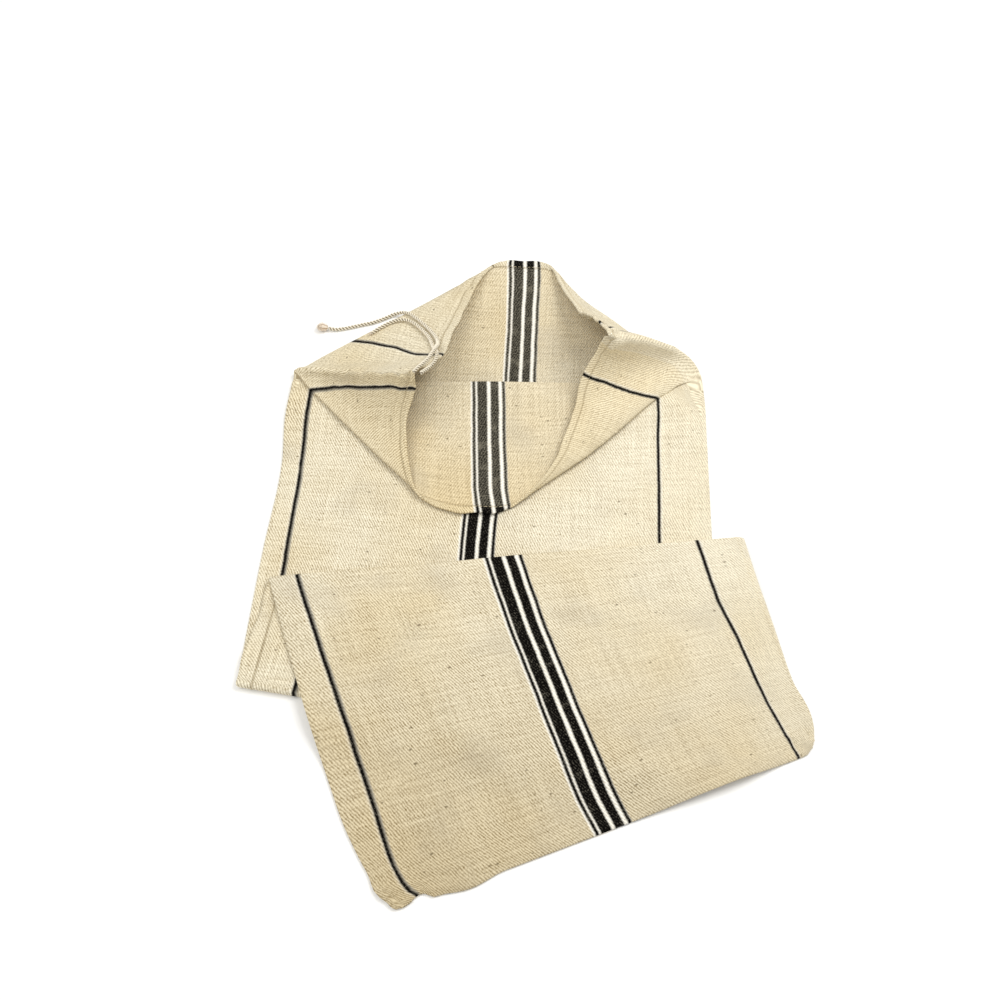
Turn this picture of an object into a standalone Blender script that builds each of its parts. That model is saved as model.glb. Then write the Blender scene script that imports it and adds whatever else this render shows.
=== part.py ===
"""A striped grain sack, laid down with its mouth opened flat and its tube folded in three.

The sack is a tube: a front panel and a back panel joined at both sides and at the bottom. It lies
back panel down. At the mouth the front lip is folded down outwards, so that the mouth opens as an
oval whose two side corners stand up. Below it the tube folds up over itself, and then down again.

Metres, +Z up. X runs across the sack and +Y towards its mouth. The origin is on the floor under
the middle of the lying sack.
"""

import math

import bmesh
import bpy
import numpy as np
from mathutils import Matrix, Vector

# ---- driving dimensions -----------------------------------------------------------------------

TUBE_WIDTH = 0.566  # the tube's width when it lies flat
CLOTH = 0.0016  # thickness of the woven cloth
HEM_CLOTH = 0.0030  # thickness of the rolled hem
PINCHED_CLOTH = 0.0007  # thickness where the cloth is pinched at its four corners
HALF_TUBE = 0.0019  # from the middle of the flat tube to the middle of each panel's cloth
FOLD_RADIUS = 0.0035  # of the folds of the whole tube, at the middle of the tube
SIDE_ROLL = 0.006  # depth of the rounded side edges of the flat tube
BOTTOM_ROLL = 0.010  # depth of the rounded bottom edge
LIP_RADIUS = 0.0015  # of the fold that turns the front lip down
BACK_CLEAR = 0.004  # how far past that fold the back panel starts to turn up at the corners
RIDGE_CLEAR = 0.005  # how far past it the mouth's side corners start
RIDGE_CLEAR_END = 0.3  # share of the way to the hem in which they come back from there
LIP_RISE = 0.013  # how far the front panel stands up at the middle of that fold
LIP_RISE_WIDE = 0.17  # how far across the rise reaches, each way
LIP_RISE_LONG = 0.11  # how far down the sack the rise reaches
LIP_DIP = 0.018  # how far that fold dips below the line between the corners
LIP_SWELL = 0.003  # how far apart the two panels stand along it, right to the corners
CREASE_GAP = 0.0034  # between the layers at the mouth's slanting creases
CREASE_SOFT = 0.03  # softness of those creases, as a share of the way to the hem
CREASE_SHARP = 0.0005  # and at their start, as a share of the tube's width
CREASE_START = 0.10  # share of the way to the hem in which that gap opens
DRAPE = 0.085  # how far past the edge of the layer below a layer takes to sink to the floor
DRAPE_CLEAR = 0.018  # it keeps its height this far past that edge

TIE_WIDE = 0.005  # thickness of the tie's cord
KNOT_LONG = 0.014  # the knot at the end of its long strand
KNOT_WIDE = 0.011
KNOT_HIGH = 0.010
KNOT_SEGMENTS = (20, 12)  # round it and from pole to pole
TOUCH = 0.0003  # between pieces that touch

LAYER_STEP = 2 * FOLD_RADIUS
LOW_MIDDLE = HALF_TUBE + CLOTH / 2
EDGE_SHARE = SIDE_ROLL / TUBE_WIDTH

# The lying tube seen from above: its two edges at stations down each section.
# columns: share of the section's length, left edge x and y, right edge x and y
UNDER_SECTION = (
    (0.00, -0.3030, 0.246, 0.2475, 0.239),
    (0.14, -0.3095, 0.183, 0.2440, 0.173),
    (0.30, -0.3080, 0.115, 0.2415, 0.098),
    (0.60, -0.3215, -0.012, 0.2355, -0.067),
    (1.00, -0.3371, -0.188, 0.2205, -0.281),
)
MIDDLE_SECTION = (
    (0.00, -0.3371, -0.188, 0.2205, -0.281),
    (0.50, -0.3230, -0.120, 0.2485, -0.139),
    (1.00, -0.3090, -0.052, 0.2755, 0.002),
)
TOP_SECTION = (
    (0.00, -0.3090, -0.052, 0.2755, 0.002),
    (0.23, -0.2785, -0.143, 0.2885, -0.059),
    (0.45, -0.2485, -0.228, 0.3045, -0.120),
    (0.63, -0.2220, -0.297, 0.3160, -0.169),
    (0.80, -0.1935, -0.363, 0.3265, -0.209),
    (0.93, -0.1615, -0.413, 0.3355, -0.245),
    (1.00, -0.1350, -0.439, 0.3375, -0.265),
)

# The hem of the opened mouth, from the left corner to the right one.
# columns: x, y, height of the middle of the cloth
FRONT_HEM = (
    (-0.1335, 0.1900, 0.1000),
    (-0.1365, 0.1830, 0.0740),
    (-0.1445, 0.1640, 0.0480),
    (-0.1485, 0.1380, 0.0300),
    (-0.1435, 0.0960, 0.0190),
    (-0.1275, 0.0560, 0.0125),
    (-0.0985, 0.0420, 0.0100),
    (-0.0625, 0.0360, 0.0095),
    (-0.0265, 0.0380, 0.0095),
    (-0.0065, 0.0490, 0.0115),
    (0.0185, 0.0710, 0.0160),
    (0.0435, 0.1060, 0.0200),
    (0.0655, 0.1610, 0.0260),
    (0.0745, 0.1910, 0.0310),
    (0.0785, 0.2090, 0.0380),
    (0.0855, 0.2230, 0.0470),
    (0.0935, 0.2360, 0.0620),
    (0.1055, 0.2440, 0.0840),
    (0.1145, 0.2450, 0.1000),
)
FRONT_CREASE_ENDS = (5, 9)  # rows of the table where the two slanting creases end
BACK_HEM = (
    (-0.1335, 0.1900, 0.1000),
    (-0.1175, 0.2110, 0.0820),
    (-0.1015, 0.2380, 0.0620),
    (-0.0915, 0.2820, 0.0440),
    (-0.0755, 0.3350, 0.0280),
    (-0.0605, 0.3830, 0.0170),
    (-0.0265, 0.4340, 0.0060),
    (0.0075, 0.4370, 0.0030),
    (0.0415, 0.4320, 0.0060),
    (0.0575, 0.3850, 0.0200),
    (0.0705, 0.3430, 0.0380),
    (0.0825, 0.3090, 0.0560),
    (0.0955, 0.2860, 0.0750),
    (0.1075, 0.2600, 0.0920),
    (0.1145, 0.2450, 0.1000),
)
BACK_CREASE_ENDS = (6, 8)

# How far the right corner's lines bend towards +Y, from the corner to the hem.
# columns: share of the way to the hem, ridge, front crease, back crease
RIGHT_BENDS = (
    (0.00, 0.000, 0.000, 0.000),
    (0.12, 0.014, 0.007, -0.002),
    (0.25, 0.022, 0.010, -0.010),
    (0.40, 0.021, 0.005, -0.015),
    (0.60, 0.018, 0.000, -0.018),
    (0.80, 0.008, 0.000, -0.019),
    (0.92, 0.002, 0.000, -0.008),
    (1.00, 0.000, 0.000, 0.000),
)
# and how far the left corner's do
LEFT_BENDS = (
    (0.00, 0.000, 0.000, 0.000),
    (0.40, 0.000, -0.004, 0.000),
    (0.70, 0.000, -0.003, 0.000),
    (0.90, 0.000, 0.000, 0.000),
    (1.00, 0.000, 0.000, 0.000),
)

# The two strands of the tie, from the seam at the mouth's left corner to their free ends.
# columns: x, y, height of the middle of the cord
LONG_TIE = (
    (-0.1345, 0.1860, 0.1055),
    (-0.1295, 0.1950, 0.1022),
    (-0.1240, 0.2040, 0.0975),
    (-0.1185, 0.2140, 0.0925),
    (-0.1140, 0.2255, 0.0870),
    (-0.1105, 0.2375, 0.0805),
    (-0.1085, 0.2490, 0.0712),
    (-0.1080, 0.2600, 0.0590),
    (-0.1090, 0.2710, 0.0510),
    (-0.1125, 0.2825, 0.0447),
    (-0.1175, 0.2930, 0.0388),
    (-0.1235, 0.3040, 0.0330),
    (-0.1305, 0.3150, 0.0275),
    (-0.1375, 0.3250, 0.0225),
    (-0.1445, 0.3340, 0.0182),
    (-0.1520, 0.3420, 0.0140),
    (-0.1615, 0.3470, 0.0090),
    (-0.1720, 0.3470, 0.0050),
    (-0.1830, 0.3425, 0.0032),
    (-0.1935, 0.3375, 0.0029),
    (-0.2045, 0.3335, 0.0029),
    (-0.2165, 0.3305, 0.0029),
    (-0.2295, 0.3270, 0.0029),
    (-0.2415, 0.3242, 0.0029),
    (-0.2520, 0.3225, 0.0034),
    (-0.2620, 0.3234, 0.0048),
)
SHORT_TIE = (
    (-0.1260, 0.1890, 0.0985),
    (-0.1200, 0.1990, 0.0915),
    (-0.1135, 0.2110, 0.0840),
    (-0.1085, 0.2230, 0.0795),
    (-0.1075, 0.2340, 0.0757),
    (-0.1100, 0.2440, 0.0680),
    (-0.1135, 0.2560, 0.0565),
    (-0.1165, 0.2680, 0.0493),
    (-0.1200, 0.2800, 0.0433),
    (-0.1255, 0.2920, 0.0370),
    (-0.1320, 0.3030, 0.0312),
    (-0.1390, 0.3135, 0.0258),
    (-0.1465, 0.3220, 0.0215),
    (-0.1555, 0.3280, 0.0180),
    (-0.1660, 0.3295, 0.0155),
    (-0.1765, 0.3265, 0.0140),
    (-0.1865, 0.3205, 0.0137),
    (-0.1960, 0.3135, 0.0137),
    (-0.2025, 0.3080, 0.0140),
)

# ---- how finely the cloth is divided ------------------------------------------------------------

EDGE_COLUMNS = (0.0, 0.30, 0.60, 0.87)  # shares of the way from a side edge in to the crease
FACE_COLUMNS = (0.0, 0.06, 0.15, 0.25, 0.35, 0.45, 0.55, 0.65, 0.75, 0.85, 0.94, 1.0)
MOUTH_ROWS = (1.0, 0.97, 0.94, 0.87, 0.78, 0.68, 0.57, 0.46, 0.35, 0.25, 0.17, 0.11, 0.06, 0.03, 0.012)
FOLD_ANGLES = (-90, -54, -18, 18, 54, 90)  # degrees round a fold
UNDER_ROWS = (0.02, 0.06, 0.12, 0.20, 0.30, 0.42, 0.54, 0.66, 0.78, 0.89, 0.96)
MIDDLE_ROWS = (0.08, 0.22, 0.36, 0.50, 0.64, 0.78, 0.92)
TOP_ROWS = (0.04, 0.10, 0.17, 0.26, 0.36, 0.46, 0.56, 0.66, 0.75, 0.83, 0.90, 0.95)
BOTTOM_ANGLES = (75, 50, 25)  # degrees round the rounded bottom edge
HEM_ROWS = 3  # rows of the thicker hem
PINCHED_COLUMNS = 4  # from each side edge
PINCHED_FROM = 0.06  # the first row of the mouth that is pinched at its side corners
PINCHED_BOTTOM = 4  # rows pinched at the bottom corners


# ---- curves and steps ---------------------------------------------------------------------------


def soft_step(x):
    """0 below 0, 1 above 1, and a smooth step between."""
    x = np.clip(x, 0.0, 1.0)
    return x * x * (3.0 - 2.0 * x)


def ramp(x, softness):
    """x where x is well above 0, nothing well below it, and a soft bend between."""
    return 0.5 * (x + np.sqrt(x * x + softness * softness))


def through(marks, points, at):
    """A smooth curve through points at given marks, read at other marks."""
    at = np.clip(at, marks[0], marks[-1])
    slopes = np.gradient(points, marks, axis=0)
    i = np.clip(np.searchsorted(marks, at, side="right") - 1, 0, len(marks) - 2)
    span = (marks[i + 1] - marks[i])[:, None]
    s = (at - marks[i])[:, None] / span
    step = points[i + 1] - points[i]
    start = slopes[i] * span
    end = slopes[i + 1] * span
    return points[i] + s * (start + s * (3 * step - 2 * start - end + s * (start + end - 2 * step)))


def marks_along(points):
    """Each point's share of the length of the line through them all."""
    steps = np.linalg.norm(np.diff(points, axis=0), axis=1)
    return np.concatenate([[0.0], np.cumsum(steps)]) / steps.sum()


# ---- the flat tube's sections, seen from above ----------------------------------------------------


def plan(section, across, share):
    """Where points of the flat tube lie, from their shares across it and down a section."""
    table = np.array(section)
    edges = through(table[:, 0], table[:, 1:], share)
    across = across[:, None]
    return edges[:, :2] * (1.0 - across) + edges[:, 2:] * across


def under_plan(across, share):
    """The same for the section on the floor, which ends above at the dipping fold of the lip."""
    points = plan(UNDER_SECTION, across, share)
    dip = LIP_DIP * (1.0 - (2.0 * across - 1.0) ** 2) ** 2
    points[:, 1] -= dip * (1.0 - share) ** 4
    return points


def middle_plan(across, share):
    """The same for the section folded up over it."""
    return plan(MIDDLE_SECTION, across, share)


def top_plan(across, share):
    """The same for the section folded down over both."""
    return plan(TOP_SECTION, across, share)


def lengths(place, across):
    """The length of a section at each share across it."""
    ends = place(across, np.ones(len(across))) - place(across, np.zeros(len(across)))
    return np.linalg.norm(ends, axis=1)


def left_of(points, start, end):
    """How far points lie to the left of the line from start to end."""
    along = np.array(end) - np.array(start)
    along /= np.linalg.norm(along)
    away = points - np.array(start)
    return along[0] * away[:, 1] - along[1] * away[:, 0]


def carried(points, section):
    """1 where a layer lies over a section, sinking to 0 past that section's edges."""
    _, *first = section[0]
    _, *last = section[-1]
    corners = [first[:2], first[2:], last[2:], last[:2]]
    if left_of(np.array([corners[2]]), corners[0], corners[1])[0] < 0.0:
        corners.reverse()
    share = np.ones(len(points))
    for i, corner in enumerate(corners):
        side = left_of(points, corner, corners[(i + 1) % 4])
        share *= soft_step((side + DRAPE) / (DRAPE - DRAPE_CLEAR))
    return share


def middle_height(points, layer):
    """Height of the middle of the tube: layer 0 lies on the floor, 1 over it, 2 over both."""
    height = np.full(len(points), LOW_MIDDLE)
    if layer > 0:
        height += LAYER_STEP * carried(points, UNDER_SECTION)
    if layer > 1:
        height += LAYER_STEP * carried(points, MIDDLE_SECTION)
    return height


def near_lip(points):
    """1 along the fold of the lip, falling to 0 on both sides of it."""
    middle = under_plan(np.array([0.5]), np.zeros(1))[0]
    return soft_step(1.0 - np.abs(points[:, 1] - middle[1]) / LIP_RISE_LONG)


def front_height(points, fullness):
    """Height of the front panel's cloth where the tube lies on the floor."""
    middle = under_plan(np.array([0.5]), np.zeros(1))[0]
    across = soft_step(1.0 - np.abs(points[:, 0] - middle[0]) / LIP_RISE_WIDE)
    rise = fullness * LIP_RISE * across + (1.0 + fullness) / 2 * LIP_SWELL
    return LOW_MIDDLE + fullness * HALF_TUBE + rise * near_lip(points)


def back_height(points, fullness):
    """Height of the back panel's cloth there."""
    rise = (1.0 - fullness) / 2 * LIP_SWELL
    return LOW_MIDDLE - fullness * HALF_TUBE + rise * near_lip(points)


# ---- rows of the flat tube ------------------------------------------------------------------------


def tube_columns():
    """Each column's share across the flat tube, and how full the tube is there, 0 at its edges."""
    turns = math.pi / 2 * np.array(EDGE_COLUMNS)
    edge = EDGE_SHARE * (1.0 - np.cos(turns))
    face = EDGE_SHARE + (1.0 - 2.0 * EDGE_SHARE) * np.array(FACE_COLUMNS)
    across = np.concatenate([edge, face, 1.0 - edge[::-1]])
    fullness = np.concatenate([np.sin(turns), np.ones(len(face)), np.sin(turns)[::-1]])
    return across, fullness


def flat_row(place, layer, share, closing=1.0):
    """The front and back panels' points in a row of the flat tube."""
    across, fullness = tube_columns()
    points = place(across, share * np.ones(len(across)))
    middle = middle_height(points, layer)
    half = HALF_TUBE * fullness * closing
    if layer == 0:
        front = front_height(points, fullness)
        back = back_height(points, fullness)
        return np.column_stack([points, front]), np.column_stack([points, back])
    if layer == 1:
        half = -half
    return np.column_stack([points, middle + half]), np.column_stack([points, middle - half])


def folded_row(before, after, layer, angle):
    """A row of the fold between two sections, at an angle from -90 degrees to 90."""
    across, fullness = tube_columns()
    turn = math.radians(angle)
    place, end = (before, 1.0) if angle < 0 else (after, 0.0)
    line = place(across, np.full(len(across), end))
    low = middle_height(line, layer)
    high = middle_height(line, layer + 1)
    radius = (high - low) / 2
    rows = []
    for outward in (-1.0, 1.0) if layer == 0 else (1.0, -1.0):
        reach = radius + outward * HALF_TUBE * fullness
        inset = (radius + HALF_TUBE - reach * math.cos(turn)) / lengths(place, across)
        points = place(across, np.abs(end - inset))
        rows.append(np.column_stack([points, (low + high) / 2 + reach * math.sin(turn)]))
    return rows


# ---- rows of the opened mouth ---------------------------------------------------------------------


def mouth_fullness(points):
    """How full the flat tube is under points beside the mouth, 0 at its side edges."""
    _, left, _, right, _ = UNDER_SECTION[0]
    inside = np.minimum(points[:, 0] - left, right - points[:, 0]) / SIDE_ROLL
    return np.sqrt(1.0 - (1.0 - np.clip(inside, 0.0, 1.0)) ** 2)


class MouthPanel:
    """One panel past the lip's fold: its flap, and the corners turned over at its two ends."""

    def __init__(self, hem, crease_ends, down):
        self.hem = np.array(hem)
        self.marks = marks_along(self.hem)
        self.down = down
        self.crease_ends = (self.marks[crease_ends[0]], 1.0 - self.marks[crease_ends[1]])
        middle = under_plan(np.array([0.5]), np.zeros(1))[0, 1]
        hem_middle = through(self.marks, self.hem, np.array([0.5]))[0, 1]
        self.depth = hem_middle - middle

    def crease(self, side, share):
        """The share across the panel from a side to its slanting crease, in a row."""
        return math.hypot(self.crease_ends[side] * share, EDGE_SHARE)

    def bends(self, side, share):
        """How far a side's ridge and crease bend towards +Y, in a row."""
        table = np.array((LEFT_BENDS, RIGHT_BENDS)[side])
        ridge, front_crease, back_crease = through(table[:, 0], table[:, 1:], np.array([share]))[0]
        return ridge, front_crease if self.down else back_crease

    def base(self, points, turned):
        """Height of the flap as it lies, turned being 1 once the lip is folded over."""
        fullness = mouth_fullness(points)
        if self.down:
            return front_height(points, fullness) + turned * 2 * LIP_RADIUS
        return back_height(points, fullness)

    def flap(self, across, hem_across, share, turned):
        """Points of the flap between the creases."""
        fold = under_plan(across, np.zeros(len(across)))
        hem_fold = under_plan(hem_across, np.zeros(len(across)))
        if self.down:
            fold[:, 1] -= LIP_RADIUS * (1.0 - math.cos(math.asin(2.0 * turned - 1.0)))
            hem_fold[:, 1] -= LIP_RADIUS
        else:
            fold[:, 1] += turned * (LIP_RADIUS + BACK_CLEAR) - LIP_RADIUS
        hem_fold[:, 1] += self.depth
        hem = through(self.marks, self.hem, hem_across)
        points = fold + share * (hem[:, :2] - hem_fold)
        points[:, 1] += share * self.depth
        base = self.base(points, turned)
        height = base + share * (hem[:, 2] - self.base(hem[:, :2], 1.0))
        return np.column_stack([points, height])

    def corner(self, side, inward, share, turned, ridge):
        """Points of the corner turned over at a side: inward is 0 at the side and 1 at the crease."""
        corner = under_plan(np.array([float(side)]), np.zeros(1))[0]
        hem_across = inward * self.crease(side, 1.0)
        hem = through(self.marks, self.hem, np.abs(side - hem_across))
        roll = (self.crease(side, share) - self.crease_ends[side] * share) * TUBE_WIDTH
        points = corner + share * (hem[:, :2] - corner)
        points[:, 0] += (1.0 - 2.0 * side) * roll * (1.0 - np.cos(math.pi / 2 * inward))
        ridge_bend, crease_bend = self.bends(side, share)
        points[:, 1] += ridge_bend + inward * (crease_bend - ridge_bend)
        clear = turned * (1.0 - soft_step(share / RIDGE_CLEAR_END))
        points[:, 1] += clear * (1.0 - inward) * RIDGE_CLEAR - LIP_RADIUS * (1.0 - turned)
        gap = turned * CREASE_GAP
        if not self.down:
            gap *= soft_step(share / CREASE_START)
        base = self.base(points, turned) + gap
        hem_base = self.base(hem[:, :2], 1.0) + CREASE_GAP
        if ridge is not None:
            rise = turned * (1.0 - inward)
            base += rise * (ridge[0] - base)
            hem_base += rise * (ridge[1] - hem_base)
        height = base + share * (hem[:, 2] - hem_base)
        return np.column_stack([points, height]), (base[-side], hem_base[-side])

    def row(self, share, turned, ridges):
        """The panel's points in a row, and the heights of its two side ridges."""
        creases = [self.crease(side, share) for side in (0, 1)]
        hem_creases = [self.crease(side, 1.0) for side in (0, 1)]
        soft = CREASE_SOFT * share + CREASE_SHARP
        face = creases[0] + (1.0 - sum(creases)) * np.array(FACE_COLUMNS)
        edge = np.array(EDGE_COLUMNS)
        across = np.concatenate([edge * creases[0], face, 1.0 - edge[::-1] * creases[1]])
        beyond = [across - creases[0], 1.0 - across - creases[1]]
        inside = across + (ramp(beyond[0], soft) - beyond[0]) - (ramp(beyond[1], soft) - beyond[1])
        flap_share = (inside - creases[0]) / (1.0 - sum(creases))
        hem_inside = hem_creases[0] + (1.0 - sum(hem_creases)) * flap_share
        points = self.flap(inside, hem_inside, share, turned)
        found = []
        for side in (0, 1):
            inward = (creases[side] - ramp(-beyond[side], soft)) / creases[side]
            inward = np.clip(inward, 0.0, 1.0)
            turned_over, ridge = self.corner(side, inward, share, turned, ridges[side])
            at_crease, _ = self.corner(side, np.ones(2), share, turned, ridges[side])
            over = soft_step(0.5 - beyond[side] / (2.0 * soft))
            points[:, :2] += turned_over[:, :2] - at_crease[0, :2]
            near = np.clip(np.abs(1.0 - side - flap_share), 0.0, 1.0)
            points[:, 1] += near**2 * self.bends(side, share)[1]
            points[:, 2] += over * (turned_over[:, 2] - points[:, 2])
            found.append(ridge)
        return points, found


def mouth_rows(front, back, share, turned):
    """The front and back panels' points in a row past the lip's fold."""
    front_points, ridges = front.row(share, turned, (None, None))
    back_points, _ = back.row(share, turned, ridges)
    back_points[[0, -1]] = front_points[[0, -1]]
    return front_points, back_points


# ---- the cloth ------------------------------------------------------------------------------------


def sack_rows():
    """Every row of the tube, from the hem of the mouth down to the closed bottom."""
    front = MouthPanel(FRONT_HEM, FRONT_CREASE_ENDS, down=True)
    back = MouthPanel(BACK_HEM, BACK_CREASE_ENDS, down=False)
    rows = [mouth_rows(front, back, share, 1.0) for share in MOUTH_ROWS]
    for angle in reversed(FOLD_ANGLES):
        turned = (1.0 + math.sin(math.radians(angle))) / 2
        rows.append(mouth_rows(front, back, 0.0, turned))
    rows += [flat_row(under_plan, 0, share) for share in UNDER_ROWS]
    rows += [folded_row(under_plan, middle_plan, 0, angle) for angle in FOLD_ANGLES]
    rows += [flat_row(middle_plan, 1, share) for share in MIDDLE_ROWS]
    rows += [folded_row(middle_plan, top_plan, 1, angle) for angle in FOLD_ANGLES]
    rows += [flat_row(top_plan, 2, share) for share in TOP_ROWS]
    across, _ = tube_columns()
    roll = BOTTOM_ROLL / lengths(top_plan, across)
    for angle in BOTTOM_ANGLES + (0,):
        turn = math.radians(angle)
        rows.append(flat_row(top_plan, 2, 1.0 - roll * (1.0 - math.cos(turn)), math.sin(turn)))
    return rows


def fabric(name, colour):
    """A matt woven material."""
    material = bpy.data.materials.new(name)
    material.use_nodes = True
    shader = material.node_tree.nodes["Principled BSDF"]
    shader.inputs["Base Color"].default_value = (*colour, 1.0)
    shader.inputs["Roughness"].default_value = 0.9
    shader.inputs["Metallic"].default_value = 0.0
    return material


def sack_cloth():
    """The sack itself: one sheet of cloth closed to a tube, with a thicker rolled hem."""
    rows = sack_rows()
    last = rows.pop()[0]
    panel = len(last) - 1
    ring = 2 * panel
    points = []
    for front, back in rows:
        points += front.tolist() + back[panel - 1 : 0 : -1].tolist()
    bottom = len(points)
    points += last.tolist()
    faces = []
    for r in range(len(rows) - 1):
        for k in range(ring):
            n = (k + 1) % ring
            faces.append((r * ring + k, (r + 1) * ring + k, (r + 1) * ring + n, r * ring + n))
    start = bottom - ring
    ends = [bottom + (k if k <= panel else ring - k) for k in range(ring)]
    for k in range(ring):
        n = (k + 1) % ring
        faces.append((start + k, ends[k], ends[n], start + n))
    mesh = bpy.data.meshes.new("sack_cloth")
    mesh.from_pydata(points, [], faces)
    mesh.shade_smooth()
    sack = bpy.data.objects.new("sack_cloth", mesh)
    bpy.context.scene.collection.objects.link(sack)
    thick = sack.vertex_groups.new(name="thick")
    thick.add(range(len(points)), (CLOTH - PINCHED_CLOTH) / (HEM_CLOTH - PINCHED_CLOTH), "REPLACE")
    thick.add(range(HEM_ROWS * ring), 1.0, "REPLACE")
    mouth_rows_end = len(MOUTH_ROWS) + len(FOLD_ANGLES)
    pinched = list(range(MOUTH_ROWS.index(PINCHED_FROM), mouth_rows_end))
    pinched += range(len(rows) - PINCHED_BOTTOM, len(rows))
    for k in range(ring):
        if min(k % panel, panel - k % panel) <= PINCHED_COLUMNS:
            thick.add([r * ring + k for r in pinched], 0.0, "REPLACE")
    thick.add([bottom, bottom + 1, bottom + panel - 1, bottom + panel], 0.0, "REPLACE")
    wall = sack.modifiers.new("wall", "SOLIDIFY")
    wall.thickness = HEM_CLOTH
    wall.offset = 0.0
    wall.vertex_group = thick.name
    wall.thickness_vertex_group = PINCHED_CLOTH / HEM_CLOTH
    sack.data.materials.append(fabric("undyed hemp and cotton twill", (0.76, 0.68, 0.50)))
    return sack


# ---- the tie --------------------------------------------------------------------------------------


def tie_strand(name, route, material):
    """A plain round cord along a route."""
    curve = bpy.data.curves.new(name, "CURVE")
    curve.dimensions = "3D"
    spline = curve.splines.new("POLY")
    spline.points.add(len(route) - 1)
    for point, place in zip(spline.points, route):
        point.co = (*place, 1.0)
    curve.bevel_depth = TIE_WIDE / 2
    curve.bevel_resolution = 2
    curve.use_fill_caps = True
    curve.materials.append(material)
    strand = bpy.data.objects.new(name, curve)
    bpy.context.scene.collection.objects.link(strand)
    return strand


def tie_knot(material):
    """The knot on the end of the long strand, lying on the floor beyond it."""
    before, end = Vector(LONG_TIE[-2]), Vector(LONG_TIE[-1])
    along = end - before
    along.z = 0.0
    along.normalize()
    middle = end + along * (KNOT_LONG / 2 + TOUCH)
    middle.z = KNOT_HIGH / 2 + TOUCH
    mesh = bpy.data.meshes.new("tie_knot")
    shape = bmesh.new()
    round_it, poles = KNOT_SEGMENTS
    bmesh.ops.create_uvsphere(shape, u_segments=round_it, v_segments=poles, radius=0.5)
    turn = Matrix.Rotation(math.atan2(along.y, along.x), 4, "Z")
    size = Matrix.Diagonal((KNOT_LONG, KNOT_WIDE, KNOT_HIGH, 1.0))
    shape.transform(Matrix.Translation(middle) @ turn @ size)
    shape.to_mesh(mesh)
    shape.free()
    mesh.shade_smooth()
    mesh.materials.append(material)
    knot = bpy.data.objects.new("tie_knot", mesh)
    bpy.context.scene.collection.objects.link(knot)
    return knot


def main():
    """Clear the scene, lay the sack down and lay its tie over it."""
    for thing in list(bpy.data.objects):
        bpy.data.objects.remove(thing)
    sack_cloth()
    cotton = fabric("twisted cotton cord", (0.80, 0.74, 0.58))
    tie_strand("tie_long", LONG_TIE, cotton)
    tie_strand("tie_short", SHORT_TIE, cotton)
    tie_knot(cotton)


main()
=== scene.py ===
"""The looks of a striped grain sack: its mouth is opened flat and its tube folded up and down.

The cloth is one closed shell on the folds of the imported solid, drawn much finer, with its rolled hem,
its soft creases and its twill. Metres, +Z up; X runs across the sack and +Y towards its mouth.
"""

import logging
import math
from dataclasses import dataclass
from enum import Enum
from functools import partial
from typing import ClassVar

import bmesh
import bpy
import numpy as np
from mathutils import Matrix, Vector


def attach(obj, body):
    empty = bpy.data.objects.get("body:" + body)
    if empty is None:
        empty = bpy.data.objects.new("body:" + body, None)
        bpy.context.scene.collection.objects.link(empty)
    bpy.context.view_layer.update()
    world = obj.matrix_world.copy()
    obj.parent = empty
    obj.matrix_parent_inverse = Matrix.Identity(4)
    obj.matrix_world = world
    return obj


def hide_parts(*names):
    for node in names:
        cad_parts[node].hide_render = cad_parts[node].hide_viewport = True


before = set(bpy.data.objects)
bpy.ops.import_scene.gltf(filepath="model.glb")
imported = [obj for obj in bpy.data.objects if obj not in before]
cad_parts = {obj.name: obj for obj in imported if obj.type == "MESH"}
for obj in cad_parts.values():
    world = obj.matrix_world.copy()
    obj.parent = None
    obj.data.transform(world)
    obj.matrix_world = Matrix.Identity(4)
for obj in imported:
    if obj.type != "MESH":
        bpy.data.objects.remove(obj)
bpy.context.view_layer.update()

log = logging.getLogger("sack")

# The lying tube seen from above: its two edges at stations down each section.
# columns: share of the section's length, left edge x and y, right edge x and y
UNDER_SECTION = (
    (0.00, -0.3030, 0.246, 0.2475, 0.239),
    (0.14, -0.3095, 0.183, 0.2440, 0.173),
    (0.30, -0.3080, 0.115, 0.2415, 0.098),
    (0.60, -0.3215, -0.012, 0.2355, -0.067),
    (1.00, -0.3371, -0.188, 0.2205, -0.281),
)
MIDDLE_SECTION = (
    (0.00, -0.3371, -0.188, 0.2205, -0.281),
    (0.50, -0.3230, -0.120, 0.2485, -0.139),
    (1.00, -0.3090, -0.052, 0.2755, 0.002),
)
TOP_SECTION = (
    (0.00, -0.3090, -0.052, 0.2755, 0.002),
    (0.23, -0.2785, -0.143, 0.2885, -0.059),
    (0.45, -0.2485, -0.228, 0.3045, -0.120),
    (0.63, -0.2220, -0.297, 0.3160, -0.169),
    (0.80, -0.1935, -0.363, 0.3265, -0.209),
    (0.93, -0.1615, -0.413, 0.3355, -0.245),
    (1.00, -0.1350, -0.439, 0.3375, -0.265),
)

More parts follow.
